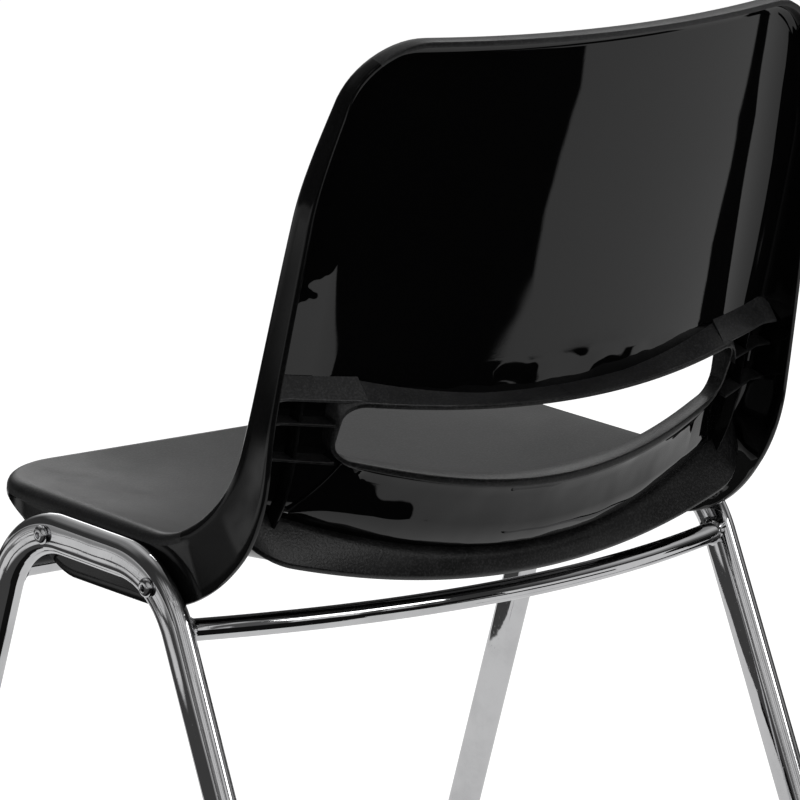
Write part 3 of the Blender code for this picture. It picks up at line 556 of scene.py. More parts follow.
def edge_rolls(finish):
    """Layers that roll the back's gloss out towards its side edges and wave that of the lower panel."""
    across = finish.place.axis("X")
    height = finish.place.axis("Z")
    left = across.above(*EDGE_ROLL_MIDDLE)
    inset = (across.larger(0 - across) - EDGE_ROLL_OFFSET).larger(0.0)
    reach = EDGE_ROLL_REACH - left * EDGE_ROLL_LEFT_LOSS
    turn = inset.smaller(reach)
    rise = turn ** 3.0 * (EDGE_ROLL_GAIN / 3) + (inset - turn) * reach * reach * EDGE_ROLL_GAIN
    above = height.above(*EDGE_ROLL_LOW)
    ragged = (finish.pattern(*RAGGED_PATTERN) - 0.5) * RAGGED_REACH
    past = (height + inset * EDGE_ROLL_LEFT_FALL + ragged).above(*EDGE_ROLL_LEFT_HIGH) * left
    below = (EDGE_TILT_TOP - height).larger(0.0)
    tilt = inset * (EDGE_TILT + below * below * EDGE_TILT_GROWTH) / EDGE_TILT_UNIT
    tilted = (height - EDGE_TILT_TOP).eased(*EDGE_TILT_FADE) * (1 - left)
    return [(rise, 1.0, above * (1 - past)),
            (0 - height, EDGE_TILT_UNIT, above * tilted * tilt),
            (finish.pattern(*PANEL_PATTERN), PANEL_WAVE, 1 - above)]


def chrome(name, ripple):
    """Bright plate over drawn tube: drawing waves, deeper where it is bent, haze and small scuffs."""
    finish = Finish(name)
    haze = finish.pattern(*HAZE_PATTERN)
    scuffs = finish.pattern(*SCUFF_PATTERN).eased(*SCUFF_WINDOW)
    finish.set(Base_Color=finish.blend(haze.eased(*HAZE_WINDOW), *CHROME_COLOURS),
               Roughness=haze.eased(*HAZE_ROUGH_WINDOW, *CHROME_ROUGHNESS) + scuffs * SCUFF_ROUGHNESS,
               Metallic=1.0)
    bent = finish.place.axis("Z").eased(*BEND_HEIGHTS, STRAIGHT_SHARE, 1.0)
    finish.bumps((finish.pattern(*BEND_PATTERN), ripple * BEND_GAIN, bent),
                 (finish.pattern(*DRAWING_PATTERN), ripple, 1.0),
                 (scuffs, SCUFF_DEPTH, 1.0))
    return finish.material


def zinc(name):
    """Zinc plate with its fine crystal mottle."""
    finish = Finish(name)
    mottle = finish.node("ShaderNodeTexVoronoi", {"feature": "F1"},
                         {"Vector": finish.place, "Scale": ZINC_PATTERN}, "Distance")
    finish.set(Base_Color=finish.blend(mottle, *ZINC_COLOURS),
               Roughness=mottle.eased(*ZINC_WINDOW, *ZINC_ROUGHNESS),
               Metallic=1.0)
    finish.bumps((mottle, ZINC_DEPTH, 1.0))
    return finish.material


def foot_plastic(name):
    """Matt black foot plastic, scuffed grey near the floor."""
    finish = Finish(name)
    scratch = finish.pattern(*FOOT_PATTERN)
    scuff = finish.place.axis("Z").eased(FOOT_SCUFF_HEIGHT, 0.0) * scratch.eased(*FOOT_WINDOW)
    plain, more = FOOT_ROUGHNESS
    finish.set(Base_Color=finish.blend(scuff, *FOOT_COLOURS), Roughness=scuff * more + plain)
    finish.bumps((scratch, FOOT_DEPTH, 1.0))
    return finish.material


# Meshes

def new_object(name, data):
    thing = bpy.data.objects.new(name, data)
    bpy.context.scene.collection.objects.link(thing)
    return thing


def mesh_piece(name, points, faces, materials, finishes=None):
    mesh = bpy.data.meshes.new(name)
    mesh.from_pydata([tuple(point) for point in points], [], faces)
    for material in materials:
        mesh.materials.append(material)
    if finishes:
        mesh.polygons.foreach_set("material_index", finishes)
    solid = bmesh.new()
    solid.from_mesh(mesh)
    bmesh.ops.recalc_face_normals(solid, faces=solid.faces)
    solid.to_mesh(mesh)
    solid.free()
    shade(mesh)
    return new_object(name, mesh)


def shade(mesh):
    mesh.shade_smooth()
    mesh.set_sharp_from_angle(angle=SHARP_ANGLE)


def loft(rings, closed=False):
    """Points and faces of a skin over rings of equal count; a closed one joins the last to the first."""
    count = len(rings[0])
    points = [point for ring in rings for point in ring]
    faces = []
    for ring in range(len(rings) if closed else len(rings) - 1):
        here = ring * count
        there = (ring + 1) % len(rings) * count
        for side in range(count):
            turn = (side + 1) % count
            faces.append((here + side, here + turn, there + turn, there + side))
    if not closed:
        faces.append(tuple(reversed(range(count))))
        faces.append(tuple(range((len(rings) - 1) * count, len(rings) * count)))
    return points, faces


def join(thing, operand, operation):
    modifier = thing.modifiers.new(operand.name, "BOOLEAN")
    modifier.operation = operation
    modifier.solver = "MANIFOLD"
    modifier.object = operand


def settle(thing, leftovers=()):
    """Turn what the modifiers make into the piece's own plain mesh and drop the helpers."""
    evaluated = thing.evaluated_get(bpy.context.evaluated_depsgraph_get())
    mesh = bpy.data.meshes.new_from_object(evaluated)
    thing.modifiers.clear()
    if thing.type == "MESH":
        thing.data = mesh
    else:
        name = thing.name
        bpy.data.objects.remove(thing, do_unlink=True)
        thing = new_object(name, mesh)
    for helper in leftovers:
        bpy.data.objects.remove(helper, do_unlink=True)
    return thing


def spread(start, end, steps):
    """Even values from start to end, both included."""
    return [start + (end - start) * step / steps for step in range(steps + 1)]


def circle(radius, sides=ROUND_SIDES):
    return [(radius * cos(angle), radius * sin(angle)) for angle in spread(0.0, 2 * pi, sides)[:-1]]


def turned(profile, sides=ROUND_SIDES):
    """Rings about the X axis from (x, radius) stations."""
    return [[Vector((x, first, second)) for first, second in circle(radius, sides)] for x, radius in profile]


def rounded_turn(start, knee, end, steps):
    """Points of a turn from start to end round a knee, without the start."""
    return [start * (1 - t) ** 2 + knee * 2 * t * (1 - t) + end * t * t for t in spread(0.0, 1.0, steps)[1:]]


def eased_outline(corners):
    """Outline of (first, second, radius) corners, each turned over its radius."""
    points = []
    for index, (first, second, radius) in enumerate(corners):
        here = Vector((first, second))
        if not radius:
            points.append(here)
            continue
        before = Vector(corners[index - 1][:2]) - here
        after = Vector(corners[(index + 1) % len(corners)][:2]) - here
        start = here + before.normalized() * min(radius, before.length / EASE_LIMIT)
        end = here + after.normalized() * min(radius, after.length / EASE_LIMIT)
        points += [start] + rounded_turn(start, here, end, EASE_STEPS)
    return points


def smooth_between(stations, place):
    """Monotone cubic through (place, value) stations, level outside them."""
    if place <= stations[0][0]:
        return stations[0][1]
    if place >= stations[-1][0]:
        return stations[-1][1]
    slopes = [(b[1] - a[1]) / (b[0] - a[0]) for a, b in zip(stations, stations[1:])]
    tangents = [slopes[0]]
    for before, after in zip(slopes, slopes[1:]):
        tangents.append(0.0 if before * after <= 0 else 2 * before * after / (before + after))
    tangents.append(slopes[-1])
    index = max(i for i, station in enumerate(stations) if station[0] <= place)
    (low, first), (high, second) = stations[index], stations[index + 1]
    span = high - low
    t = (place - low) / span
    return (first * (1 + 2 * t) * (1 - t) ** 2 + tangents[index] * span * t * (1 - t) ** 2
            + second * t * t * (3 - 2 * t) + tangents[index + 1] * span * t * t * (t - 1))


# Shell

HALF_WIDTHS = [(BEND_START + WAIST_START * (BEND_END - BEND_START), SEAT_WIDTH / 2),
               (BEND_END + SLOT_RISE, WAIST_WIDTH / 2),
               (BEND_END + SHOULDER_SHARE * BACK_RUN, SHOULDER_WIDTH / 2),
               (SHELL_RUN, TOP_WIDTH / 2)]
DISHES = [(0.0, 0.0), (BEND_START, SEAT_DISH), (WEB_STATION, BEND_DISH), (SLOT_TOP, WAIST_DISH),
          (SHELL_RUN, TOP_DISH)]
FLANGES = [(0.0, FRONT_LIP_DEPTH), (FRONT_LIP_SHARE * FRONT_CORNER_RADIUS, FRONT_LIP_DEPTH),
           (SKIRT_SHARE * SEAT_RUN, SKIRT_DEPTH), (BEND_START, SKIRT_DEPTH),
           (WEB_STATION, CORNER_FLANGE_DEPTH), (SLOT_TOP, WAIST_FLANGE_DEPTH), (SHELL_RUN, TOP_FLANGE_DEPTH)]
DRAFTS = [(WEB_STATION, 0.0), (SLOT_TOP, WAIST_FLANGE_DRAFT), (BEND_END + SHOULDER_SHARE * BACK_RUN, 0.0)]
CREASES = [(0.0, FRONT_CREASE), (FRONT_CORNER_RADIUS, SEAT_CREASE), (BEND_START, SEAT_CREASE),
           (BEND_END, BACK_CREASE)]

Row = namedtuple("Row", "place along outward corner half dish reach flange draft")


@lru_cache(maxsize=None)
def shell_row(run):
    """What the shell has at a run along its crease line: place, directions and section sizes."""
    heading = -SEAT_PITCH + min(max(run - BEND_START, 0.0), BEND_END - BEND_START) / BEND_RADIUS
    along = Vector((0.0, cos(heading), sin(heading)))
    outward = Vector((0.0, sin(heading), -cos(heading)))
    place = Vector((0.0, SEAT_CREST_Y, SEAT_HEIGHT))
    place += Vector((0.0, cos(SEAT_PITCH), -sin(SEAT_PITCH))) * min(run, BEND_START)
    if run > BEND_START:
        place += (outward - Vector((0.0, -sin(SEAT_PITCH), -cos(SEAT_PITCH)))) * BEND_RADIUS
    if run > BEND_END:
        place += along * (run - BEND_END)
    corner = smooth_between(HALF_WIDTHS, run)
    reach = smooth_between(CREASES, run)
    return Row(place, along, outward, corner, corner - reach, smooth_between(DISHES, run), reach,
               smooth_between(FLANGES, run), smooth_between(DRAFTS, run))


def shell_point(x, run, depth=0.0):
    """Point of the sitting face at x across and a run along it, moved out by a depth."""
    row = shell_row(run)
    share = min(1.0, abs(x) / row.half)
    return row.place + Vector((x, 0.0, 0.0)) + row.outward * (row.dish * (1 - share * share) + depth)


def wall_depth(x, run):
    row = shell_row(run)
    slope = 2 * row.dish * x / row.half ** 2
    return SHELL_WALL * sqrt(1 + slope * slope)


def corner_cut(run):
    """How far a rounded corner takes the edge in, and the sine of the edge's turn there."""
    if run < FRONT_CORNER_RADIUS:
        radius = FRONT_CORNER_RADIUS
        turn = (run - radius) / radius
    elif run > SHELL_RUN - TOP_CORNER_RADIUS:
        radius = TOP_CORNER_RADIUS
        turn = (run - SHELL_RUN + radius) / radius
    else:
        return 0.0, 0.0
    turn = max(-1.0, min(1.0, turn))
    return radius * (1 - sqrt(1 - turn * turn)), turn


def shell_rows():
    quarter = spread(0.0, pi / 2, CORNER_STEPS)
    rows = [FRONT_CORNER_RADIUS * (1 - cos(angle)) for angle in quarter]
    rows += spread(FRONT_CORNER_RADIUS, BEND_START, SEAT_STEPS)[1:]
    rows += spread(BEND_START, BEND_END, BEND_STEPS)[1:]
    rows += spread(BEND_END, SHELL_RUN - TOP_CORNER_RADIUS, BACK_STEPS)[1:]
    return rows + [SHELL_RUN - TOP_CORNER_RADIUS * (1 - sin(angle)) for angle in quarter[1:]]


def flange_chain(x, run, edge_turn):
    """Points from the sitting face over the crease, down the flange, round its rim and back inside."""
    row = shell_row(run)
    away = Vector(((1 if x > 0 else -1) * sqrt(1 - edge_turn * edge_turn), 0.0, 0.0)) + row.along * edge_turn
    rise = 2 * row.dish * abs(x * away.x) / row.half ** 2
    lean = sqrt(1 + row.draft ** 2)
    fall = (row.outward + away * row.draft) / lean
    facing = (away - row.outward * row.draft) / lean
    base = shell_point(x, run)
    knee = base + (away - row.outward * rise) * row.reach
    end = knee + fall * row.flange
    under = wall_depth(x, run)
    drop = (under + (rise - row.draft) * SHELL_WALL / lean) / (1 + rise * row.draft)
    inner_reach = row.reach - SHELL_WALL / lean + drop * row.draft
    inner_base = base + row.outward * under
    inner_knee = inner_base + (away - row.outward * rise) * inner_reach
    inner_end = end - facing * SHELL_WALL
    outer = rounded_turn(base, knee, knee + fall * row.reach, CREASE_STEPS)
    inner = rounded_turn(inner_base, inner_knee, inner_knee + fall * inner_reach, CREASE_STEPS)
    shoulder = end - fall * RIM_RADIUS
    inner_shoulder = inner_end - fall * RIM_RADIUS
    for chain, last in ((outer, shoulder), (inner, inner_shoulder)):
        crease_end = chain[-1]
        chain += [crease_end.lerp(last, share) for share in spread(0.0, 1.0, SKIRT_STEPS)[1:]]
    rim = rounded_turn(shoulder, end, end - facing * RIM_RADIUS, RIM_STEPS)
    rim += [inner_end + facing * RIM_RADIUS]
    rim += rounded_turn(inner_end + facing * RIM_RADIUS, inner_end, inner_shoulder, RIM_STEPS)[:-1]
    return outer + rim + inner[::-1]


def build_sheet(materials):
    """The moulded skin: sitting face, crease, flange with its rim, and the back of it."""
    rows = shell_rows()
    width = COLUMNS + 1
    last = len(rows) - 1
    edge = [(0, column, -1.0) for column in range(width)]
    edge += [(row, COLUMNS, corner_cut(rows[row])[1]) for row in range(1, last)]
    edge += [(last, column, 1.0) for column in reversed(range(width))]
    edge += [(row, 0, corner_cut(rows[row])[1]) for row in reversed(range(1, last))]
    places = []
    for run in rows:
        half = shell_row(run).half - corner_cut(run)[0]
        places += [(half * (2 * column / COLUMNS - 1), run) for column in range(width)]
    points = [shell_point(x, run) for x, run in places]
    points += [shell_point(x, run, wall_depth(x, run)) for x, run in places]
    faces = []
    finishes = []
    for first, finish in ((0, SATIN), (len(places), GLOSS)):
        for row in range(last):
            for column in range(COLUMNS):
                corner = first + row * width + column
                faces.append((corner, corner + 1, corner + width + 1, corner + width))
                finishes.append(finish)
    chains = [flange_chain(*places[row * width + column], turn) for row, column, turn in edge]
    ring = [row * width + column for row, column, _ in edge]
    inner_ring = [len(places) + index for index in ring]
    steps = len(chains[0])
    inside = steps - CREASE_STEPS - SKIRT_STEPS
    for step in range(steps + 1):
        if step < steps:
            outer = [len(points) + index for index in range(len(edge))]
            points += [chain[step] for chain in chains]
        else:
            outer = inner_ring
        for index in range(len(edge)):
            turn = (index + 1) % len(edge)
            faces.append((ring[index], outer[index], outer[turn], ring[turn]))
            run = rows[edge[index][0]]
            satin = step < CREASE_STEPS and run < CREASE_SATIN_END or step < inside and run > TOP_SATIN_START
            finishes.append(SATIN if satin else SLEEK if step < inside else GLOSS)
        ring = outer
    return mesh_piece("moulded_shell", points, faces, materials, finishes)


def turn_up(x):
    """Share of an edge's curve that is reached at x across."""
    return (2 * x / WAIST_WIDTH) ** 2


def slot_run(x, height):
    """Run of a place in the slot, given by its height over the slot's lower edge at the middle."""
    share = height / SLOT_HEIGHT
    return SLOT_BOTTOM + height + turn_up(x) * (SLOT_BOTTOM_CURVE * (1 - share) + SLOT_TOP_CURVE * share)


def slot_corner_point(x, height, angle):
    return x + SLOT_CORNER_RADIUS * cos(angle), height + SLOT_CORNER_RADIUS * sin(angle)


def slot_edge():
    """Points round the slot as (x, height, outward x, outward height)."""
    straight = SLOT_LENGTH / 2 - SLOT_CORNER_RADIUS
    low = SLOT_CORNER_RADIUS
    high = SLOT_HEIGHT - SLOT_CORNER_RADIUS
    corners = [(straight, high), (-straight, high), (-straight, low), (straight, low)]
    points = []
    for index, corner in enumerate(corners):
        for turn in spread(0.0, pi / 2, SLOT_CORNER_STEPS):
            angle = index * pi / 2 + turn
            points.append((*slot_corner_point(*corner, angle), cos(angle), sin(angle)))
        first = Vector(slot_corner_point(*corner, angle))
        second = Vector(slot_corner_point(*corners[(index + 1) % 4], angle))
        for share in spread(0.0, 1.0, SLOT_END_STEPS if index % 2 else SLOT_STEPS)[1:-1]:
            points.append((*first.lerp(second, share), cos(angle), sin(angle)))
    return points


def slot_point(edge_point, offset, depth):
    """Point of the sheet at an offset out from the slot's edge, moved out by a depth."""
    x, height, away_x, away_height = edge_point
    side = x + away_x * offset
    return shell_point(side, slot_run(side, height + away_height * offset), depth)


def collar_rings():
    """Wall round the slot with eased edges, through the sheet from its sitting face to the rear edge."""
    rings = []
    for edge_point in slot_edge():
        share = max(0.0, min(1.0, edge_point[1] / SLOT_HEIGHT))
        depth = LIP_DEPTH + (COLLAR_DEPTH - LIP_DEPTH) * share
        outline = eased_outline([(0.0, -FIT_GAP, COLLAR_ROUND), (COLLAR_WALL, COLLAR_FOOT, 0.0),
                                 (COLLAR_WALL, depth, COLLAR_ROUND), (0.0, depth, COLLAR_ROUND)])
        rings.append([slot_point(edge_point, offset, out) for offset, out in outline])
    return rings


def slot_cut_rings():
    """Solid through the slot that takes the sheet out up to the middle of the collar's wall."""
    return [[slot_point(edge_point, COLLAR_WALL / 2, depth) for edge_point in slot_edge()]
            for depth in SLOT_CUT_DEPTHS]


def screw_hole_rings(place, sign):
    """Drill through the side of the seat for one screw."""
    return [[Vector((sign * x, place.x + first, place.y + second))
             for first, second in circle(SCREW_DIAMETER / 2 + FIT_GAP)]
            for x in (SEAT_WIDTH / 2 - 2 * SHELL_WALL, SEAT_WIDTH / 2 + SHELL_WALL)]


def skin(name, rings, finish, materials, closed=False):
    """Piece of the moulding over rings, all in one finish."""
    points, faces = loft(rings, closed)
    return mesh_piece(name, points, faces, materials, [finish] * len(faces))


def block(name, sections, finish, materials):
    """Solid over sections of (x, corners of (run, depth, radius)) standing on the back of the sheet."""
    rings = [[shell_point(x, run, depth) for run, depth in eased_outline(corners)]
             for x, corners in sections]
    return skin(name, rings, finish, materials)


def rooted(first, second, *corners):
    """Corners of a section that stands in the sheet from first to second."""
    return [(first, ROOT_DEPTH, 0.0), (second, ROOT_DEPTH, 0.0), *corners]


def slot_columns():
    """Places along the collar as (x, lower run, upper run) of its outer face."""
    radius = SLOT_CORNER_RADIUS + COLLAR_WALL
    straight = SLOT_LENGTH / 2 + COLLAR_WALL - radius
    end = [(straight + radius * sin(angle), radius * (1 - cos(angle)))
           for angle in spread(0.0, pi / 2, SLOT_CORNER_STEPS)]
    middle = [(straight * (1 - 2 * step / SLOT_STEPS), 0.0) for step in range(1, SLOT_STEPS)]
    columns = list(reversed(end)) + middle + [(-x, inset) for x, inset in end]
    return [(x, SLOT_BOTTOM + SLOT_BOTTOM_CURVE * turn_up(x) - COLLAR_WALL + inset,
             SLOT_TOP + SLOT_TOP_CURVE * turn_up(x) + COLLAR_WALL - inset) for x, inset in columns]


def shelf_band_sections():
    """Sloping band from the back panel down to the collar's rear edge."""
    depth = COLLAR_DEPTH - FIT_GAP
    for x, _, high in slot_columns():
        root = max(high, SLOT_TOP + SHELF_THICKNESS + SHELF_CURVE * turn_up(x))
        inside = high - COLLAR_OVERLAP
        yield x, rooted(inside, root, (high, depth, RIB_ROUND), (inside, depth, 0.0))


def lip_sections():
    """Fillet from the collar's lower edge into the lower panel, fading out at the panel's shoulders."""
    depth = LIP_DEPTH - FIT_GAP
    fade = [(0.0, 1.0), (PANEL_SHOULDER - LIP_BLEND, 1.0), (PANEL_SHOULDER, 0.0), (SLOT_LENGTH, 0.0)]
    for x, low, _ in slot_columns():
        inside = low + COLLAR_OVERLAP
        root = low - LIP_BLEND * smooth_between(fade, abs(x))
        yield x, rooted(inside, root, (low, depth, RIB_ROUND), (inside, depth, 0.0))


def panel_sections():
    """Lower panel between the slot and the web, running out to a point at each end."""
    shoulder_top = SLOT_BOTTOM + SLOT_BOTTOM_CURVE * turn_up(PANEL_SHOULDER)
    shoulder_low = PANEL_STATION + PANEL_CURVE * turn_up(PANEL_SHOULDER)
    tip = PANEL_SHOULDER + (shoulder_top - shoulder_low) / PANEL_END_SLOPE
    half = spread(0.0, PANEL_SHOULDER, PANEL_STEPS)[1:] + spread(PANEL_SHOULDER, tip, PANEL_END_STEPS)[1:]
    out = PANEL_DEPTH + PANEL_LEAN / 2
    for x in [-x for x in reversed(half)] + [0.0] + half:
        low = PANEL_STATION + PANEL_CURVE * turn_up(x)
        high = SLOT_BOTTOM + SLOT_BOTTOM_CURVE * turn_up(x) - COLLAR_WALL / 2
        if abs(x) > PANEL_SHOULDER:
            fallen = shoulder_top - (abs(x) - PANEL_SHOULDER) * PANEL_END_SLOPE
            high = max(low + RIB_WALL / 2, min(high, fallen))
        foot = min(PANEL_FOOT, (high - low) / 3)
        base = [(run, ROOT_DEPTH, 0.0) for run in spread(low, high, BASE_STEPS)]
        yield x, base + [(high, PANEL_DEPTH - PANEL_LEAN / 2, PANEL_ROUND / 2), (low + foot, out, foot / 3),
                         (low, out - PANEL_FOOT_FALL, PANEL_ROUND)]


def web_rounding(x):
    """Share of the web's full depth at x across: its ends round off like a quarter ellipse."""
    inset = max(0.0, abs(x) - WEB_HALF_LENGTH + WEB_CORNER) / WEB_CORNER
    return max(WEB_END_SHARE, sqrt(max(0.0, 1 - inset * inset)))


def web_sections():
    """Crescent web: an upper edge proud of the panel and a free edge below it."""
    for way in spread(-1.0, 1.0, 2 * WEB_STEPS):
        x = WEB_HALF_LENGTH * way
        share = (x / WEB_HALF_LENGTH) ** 2
        edge = WEB_EDGE_DEPTH - WEB_EDGE_FALL * share
        top = WEB_STATION + WEB_EDGE_CURVE * share
        tip = edge + (WEB_DEPTH + WEB_END_GAIN * share - edge) * web_rounding(x)
        free = WEB_STATION - WEB_FALL * (1 - share)
        yield x, rooted(WEB_STATION - WEB_WALL, top, (top, edge, WEB_BEVEL), (free, tip, WEB_ROUND),
                        (free - WEB_WALL / 2, tip, WEB_ROUND))


def rib_run(sign, inner, run, corners):
    """Sections of one outline from a place beside the slot to the side flange."""
    return [(sign * x, corners) for x in spread(inner, shell_row(run).corner - SHELL_WALL / 2, RIB_STEPS)]


def shelf_sections(sign):
    """Sloping shelf between the end of the slot and the side flange."""
    root = BEND_END + SIDE_SHELF_RISE
    tip = root - SIDE_SHELF_DROP
    corners = rooted(root - RIB_WALL, root,
                     (tip, RIB_DEPTH, RIB_ROUND), (tip - RIB_WALL, RIB_DEPTH, RIB_ROUND))
    return rib_run(sign, SLOT_LENGTH / 2 - SLOT_CORNER_RADIUS, root, corners)


def rib_sections(sign, run):
    """Level rib between the end of the slot and the side flange."""
    low = run - RIB_WALL / 2
    high = run + RIB_WALL / 2
    depth = RIB_DEPTH - RIB_WALL
    corners = rooted(low, high, (high, depth, RIB_ROUND), (low, depth, RIB_ROUND))
    return rib_run(sign, SLOT_LENGTH / 2 + COLLAR_WALL / 2, run, corners)


def spine_rings(sign):
    """Upright rib through the level ribs, from the shelf down to the web."""
    top = BEND_END + SIDE_SHELF_RISE - SIDE_SHELF_DROP
    depth = RIB_DEPTH - 2 * RIB_WALL
    inner = sign * SPINE_OFFSET - RIB_WALL / 2
    outer = inner + RIB_WALL
    outline = eased_outline(rooted(inner, outer, (outer, depth, RIB_ROUND), (inner, depth, RIB_ROUND)))
    return [[shell_point(x, run, out) for x, out in outline]
            for run in spread(top, WEB_STATION - WEB_WALL / 2, SPINE_STEPS)]


def build_shell(materials):
    shell = build_sheet(materials)
    # The collar, the crescent web and the level ribs wear the darker copy of the grain finish, which paints
    # shade into their colour
    blocks = [skin("collar_ring", collar_rings(), GRAIN_SHADED, materials, closed=True),
              block("shelf_band", shelf_band_sections(), GRAIN, materials),
              block("slot_lip", lip_sections(), GLOSS, materials),
              block("lower_panel", panel_sections(), GLOSS, materials),
              block("crescent_web", web_sections(), GRAIN_SHADED, materials)]
    for side, sign in SIDES.items():
        blocks.append(block(f"shelf_{side}", shelf_sections(sign), GRAIN, materials))
        for name, rise in (("upper_rib", UPPER_RIB_RISE), ("lower_rib", LOWER_RIB_RISE)):
            sections = rib_sections(sign, BEND_END + rise)
            blocks.append(block(f"{name}_{side}", sections, GRAIN_SHADED, materials))
        blocks.append(skin(f"spine_{side}", spine_rings(sign), SLEEK, materials))
    cuts = [skin("slot_cut", slot_cut_rings(), SATIN, materials)]
    for place in screw_places():
        for sign in SIDES.values():
            cuts.append(skin("screw_hole", screw_hole_rings(place, sign), SLEEK, materials))
    for cut in cuts:
        join(shell, cut, "DIFFERENCE")
    for piece in blocks:
        join(shell, piece, "UNION")
    settle(shell, blocks + cuts)
    shade(shell.data)
    return shell


# Frame

def frame_path():
    """Rounded centre line of a side frame as (y, z) points, from the front foot to the rear one."""
    front = Vector((FRONT_CORNER_Y, FRONT_CORNER_Z))
    rear = Vector((REAR_CORNER_Y, REAR_CORNER_Z))
    front_foot = Vector((front.x - front.y * tan(FRONT_SPLAY), 0.0))
    rear_foot = Vector((rear.x + rear.y * tan(REAR_SPLAY), 0.0))
    path = []
    for before, corner, after in ((front_foot, front, rear), (front, rear, rear_foot)):
        inward = (before - corner).normalized()
        onward = (after - corner).normalized()
        half = inward.angle(onward) / 2
        centre = corner + (inward + onward).normalized() * (TUBE_BEND_RADIUS / sin(half))
        start = corner + inward * (TUBE_BEND_RADIUS / tan(half)) - centre
        end = corner + onward * (TUBE_BEND_RADIUS / tan(half)) - centre
        sweep = start.angle(end)
        for t in spread(0.0, 1.0, TUBE_BEND_STEPS):
            path.append(centre + (start * sin((1 - t) * sweep) + end * sin(t * sweep)) / sin(sweep))
    leg = spread(0.0, 1.0, LEG_STEPS)
    down = [front_foot.lerp(path[0], share) for share in leg[:-1]]
    return down + path + [path[-1].lerp(rear_foot, share) for share in leg[1:]]


def frame_x(sign, z):
    """Centre plane of a side frame at a height."""
    return sign * (FRAME_X + (FRONT_CORNER_Z - z) * tan(SIDE_SPLAY))


def path_crossing(path, axis, value):
    """First point where the path reaches a value of y (axis 0) or z (axis 1)."""
    for a, b in zip(path, path[1:]):
        if (a[axis] - value) * (b[axis] - value) <= 0 and a[axis] != b[axis]:
            return a + (b - a) * ((value - a[axis]) / (b[axis] - a[axis]))
    raise ValueError("the frame's centre line doesn't reach this place")


def tube_tree():
    """Flat-oval section swept along a path; equal depth and width make a round tube."""
    tree = PieceTree("tube_along_path", depth="Float", width="Float", bulge="Float", edge_steps="Int")
    given = tree.inputs
    section = tree.node("GeometryNodeCurvePrimitiveQuadrilateral", {"mode": "RECTANGLE"},
                        {"Width": given["width"], "Height": given["depth"]})
    oval = tree.node("GeometryNodeFilletCurve", {"mode": "POLY"},
                     {"Curve": section, "Count": given["edge_steps"],
                      "Radius": given["width"] * TUBE_EDGE_SHARE, "Limit Radius": True})
    fine = tree.node("GeometryNodeSubdivideCurve", None, {"Curve": oval, "Cuts": TUBE_FLAT_CUTS})
    spot = tree.node("GeometryNodeInputPosition")
    along_depth = spot.axis("Y")
    way_out = along_depth / (given["depth"] * 0.5)
    bulged = tree.node("ShaderNodeCombineXYZ", None,
                       {"X": spot.axis("X") * (1 - given["bulge"] * way_out * way_out), "Y": along_depth})
    profile = tree.node("GeometryNodeSetPosition", None, {"Geometry": fine, "Position": bulged})
    path = tree.node("GeometryNodeSetCurveNormal", {"mode": "Z_UP"}, {"Curve": given["geometry"]})
    swept = tree.node("GeometryNodeCurveToMesh", None,
                      {"Curve": path, "Profile Curve": profile, "Fill Caps": True})
    return tree.close(tree.node("GeometryNodeSetShadeSmooth", None,
                                {"Geometry": swept, "Shade Smooth": True}))


def placed_tree():
    """Copies of a template on points, each turned as its point says and spun by chance about its axis."""
    tree = PieceTree("set_on_points", template="Object", spin="Float", seed="Int")
    given = tree.inputs
    template = tree.node("GeometryNodeObjectInfo", {"transform_space": "ORIGINAL"},
                         {"Object": given["template"]}, "Geometry")
    turn = tree.node("GeometryNodeInputNamedAttribute", {"data_type": "FLOAT_VECTOR"}, {"Name": "turn"})
    placed = tree.node("GeometryNodeInstanceOnPoints", None,
                       {"Points": given["geometry"], "Instance": template, "Rotation": turn})
    chance = tree.node("FunctionNodeRandomValue", {"data_type": "FLOAT"},
                       {"Min": 0.0, "Max": given["spin"], "Seed": given["seed"]}, "Value")
    spin = tree.node("ShaderNodeCombineXYZ", None, {"X": chance})
    return tree.close(tree.node("GeometryNodeRotateInstances", None,
                                {"Instances": placed, "Rotation": spin, "Local Space": True}))


def tube(name, points, depth, width, bulge, tree, material):
    curve = bpy.data.curves.new(name, "CURVE")
    curve.dimensions = "3D"
    spline = curve.splines.new("POLY")
    spline.points.add(len(points) - 1)
    for spot, point in zip(spline.points, points):
        spot.co = (*point, 1.0)
    path = new_object(name, curve)
    tree.put_on(path, depth=depth, width=width, bulge=bulge, edge_steps=TUBE_EDGE_STEPS, finish=material)
    return settle(path)


def build_side_frame(side, sign, tree, material):
    points = [Vector((frame_x(sign, z), y, z)) for y, z in frame_path()]
    frame_piece = tube(f"chrome_side_{side}", points, TUBE_DEPTH, TUBE_WIDTH, TUBE_BULGE, tree, material)
    solid = bmesh.new()
    solid.from_mesh(frame_piece.data)
    cut = bmesh.ops.bisect_plane(solid, geom=solid.verts[:] + solid.edges[:] + solid.faces[:],
                                 plane_co=(0.0, 0.0, GLIDE_HEIGHT), plane_no=(0.0, 0.0, -1.0),
                                 clear_outer=True)
    ends = [part for part in cut["geom_cut"] if isinstance(part, bmesh.types.BMEdge)]
    bmesh.ops.holes_fill(solid, edges=ends)
    bmesh.ops.remove_doubles(solid, verts=solid.verts, dist=MERGE_DISTANCE)
    bmesh.ops.recalc_face_normals(solid, faces=solid.faces)
    solid.to_mesh(frame_piece.data)
    solid.free()
    shade(frame_piece.data)
    return frame_piece


def bar_place(height, front):
    path = frame_path()
    return path_crossing(path if front else list(reversed(path)), 1, height)


def bar_point(share, place, bow):
    """Centre line of a cross bar, by its share of the way from the middle to the left leg."""
    return Vector((frame_x(1, place.y) * share, place.x + bow * (1 - share * share), place.y))


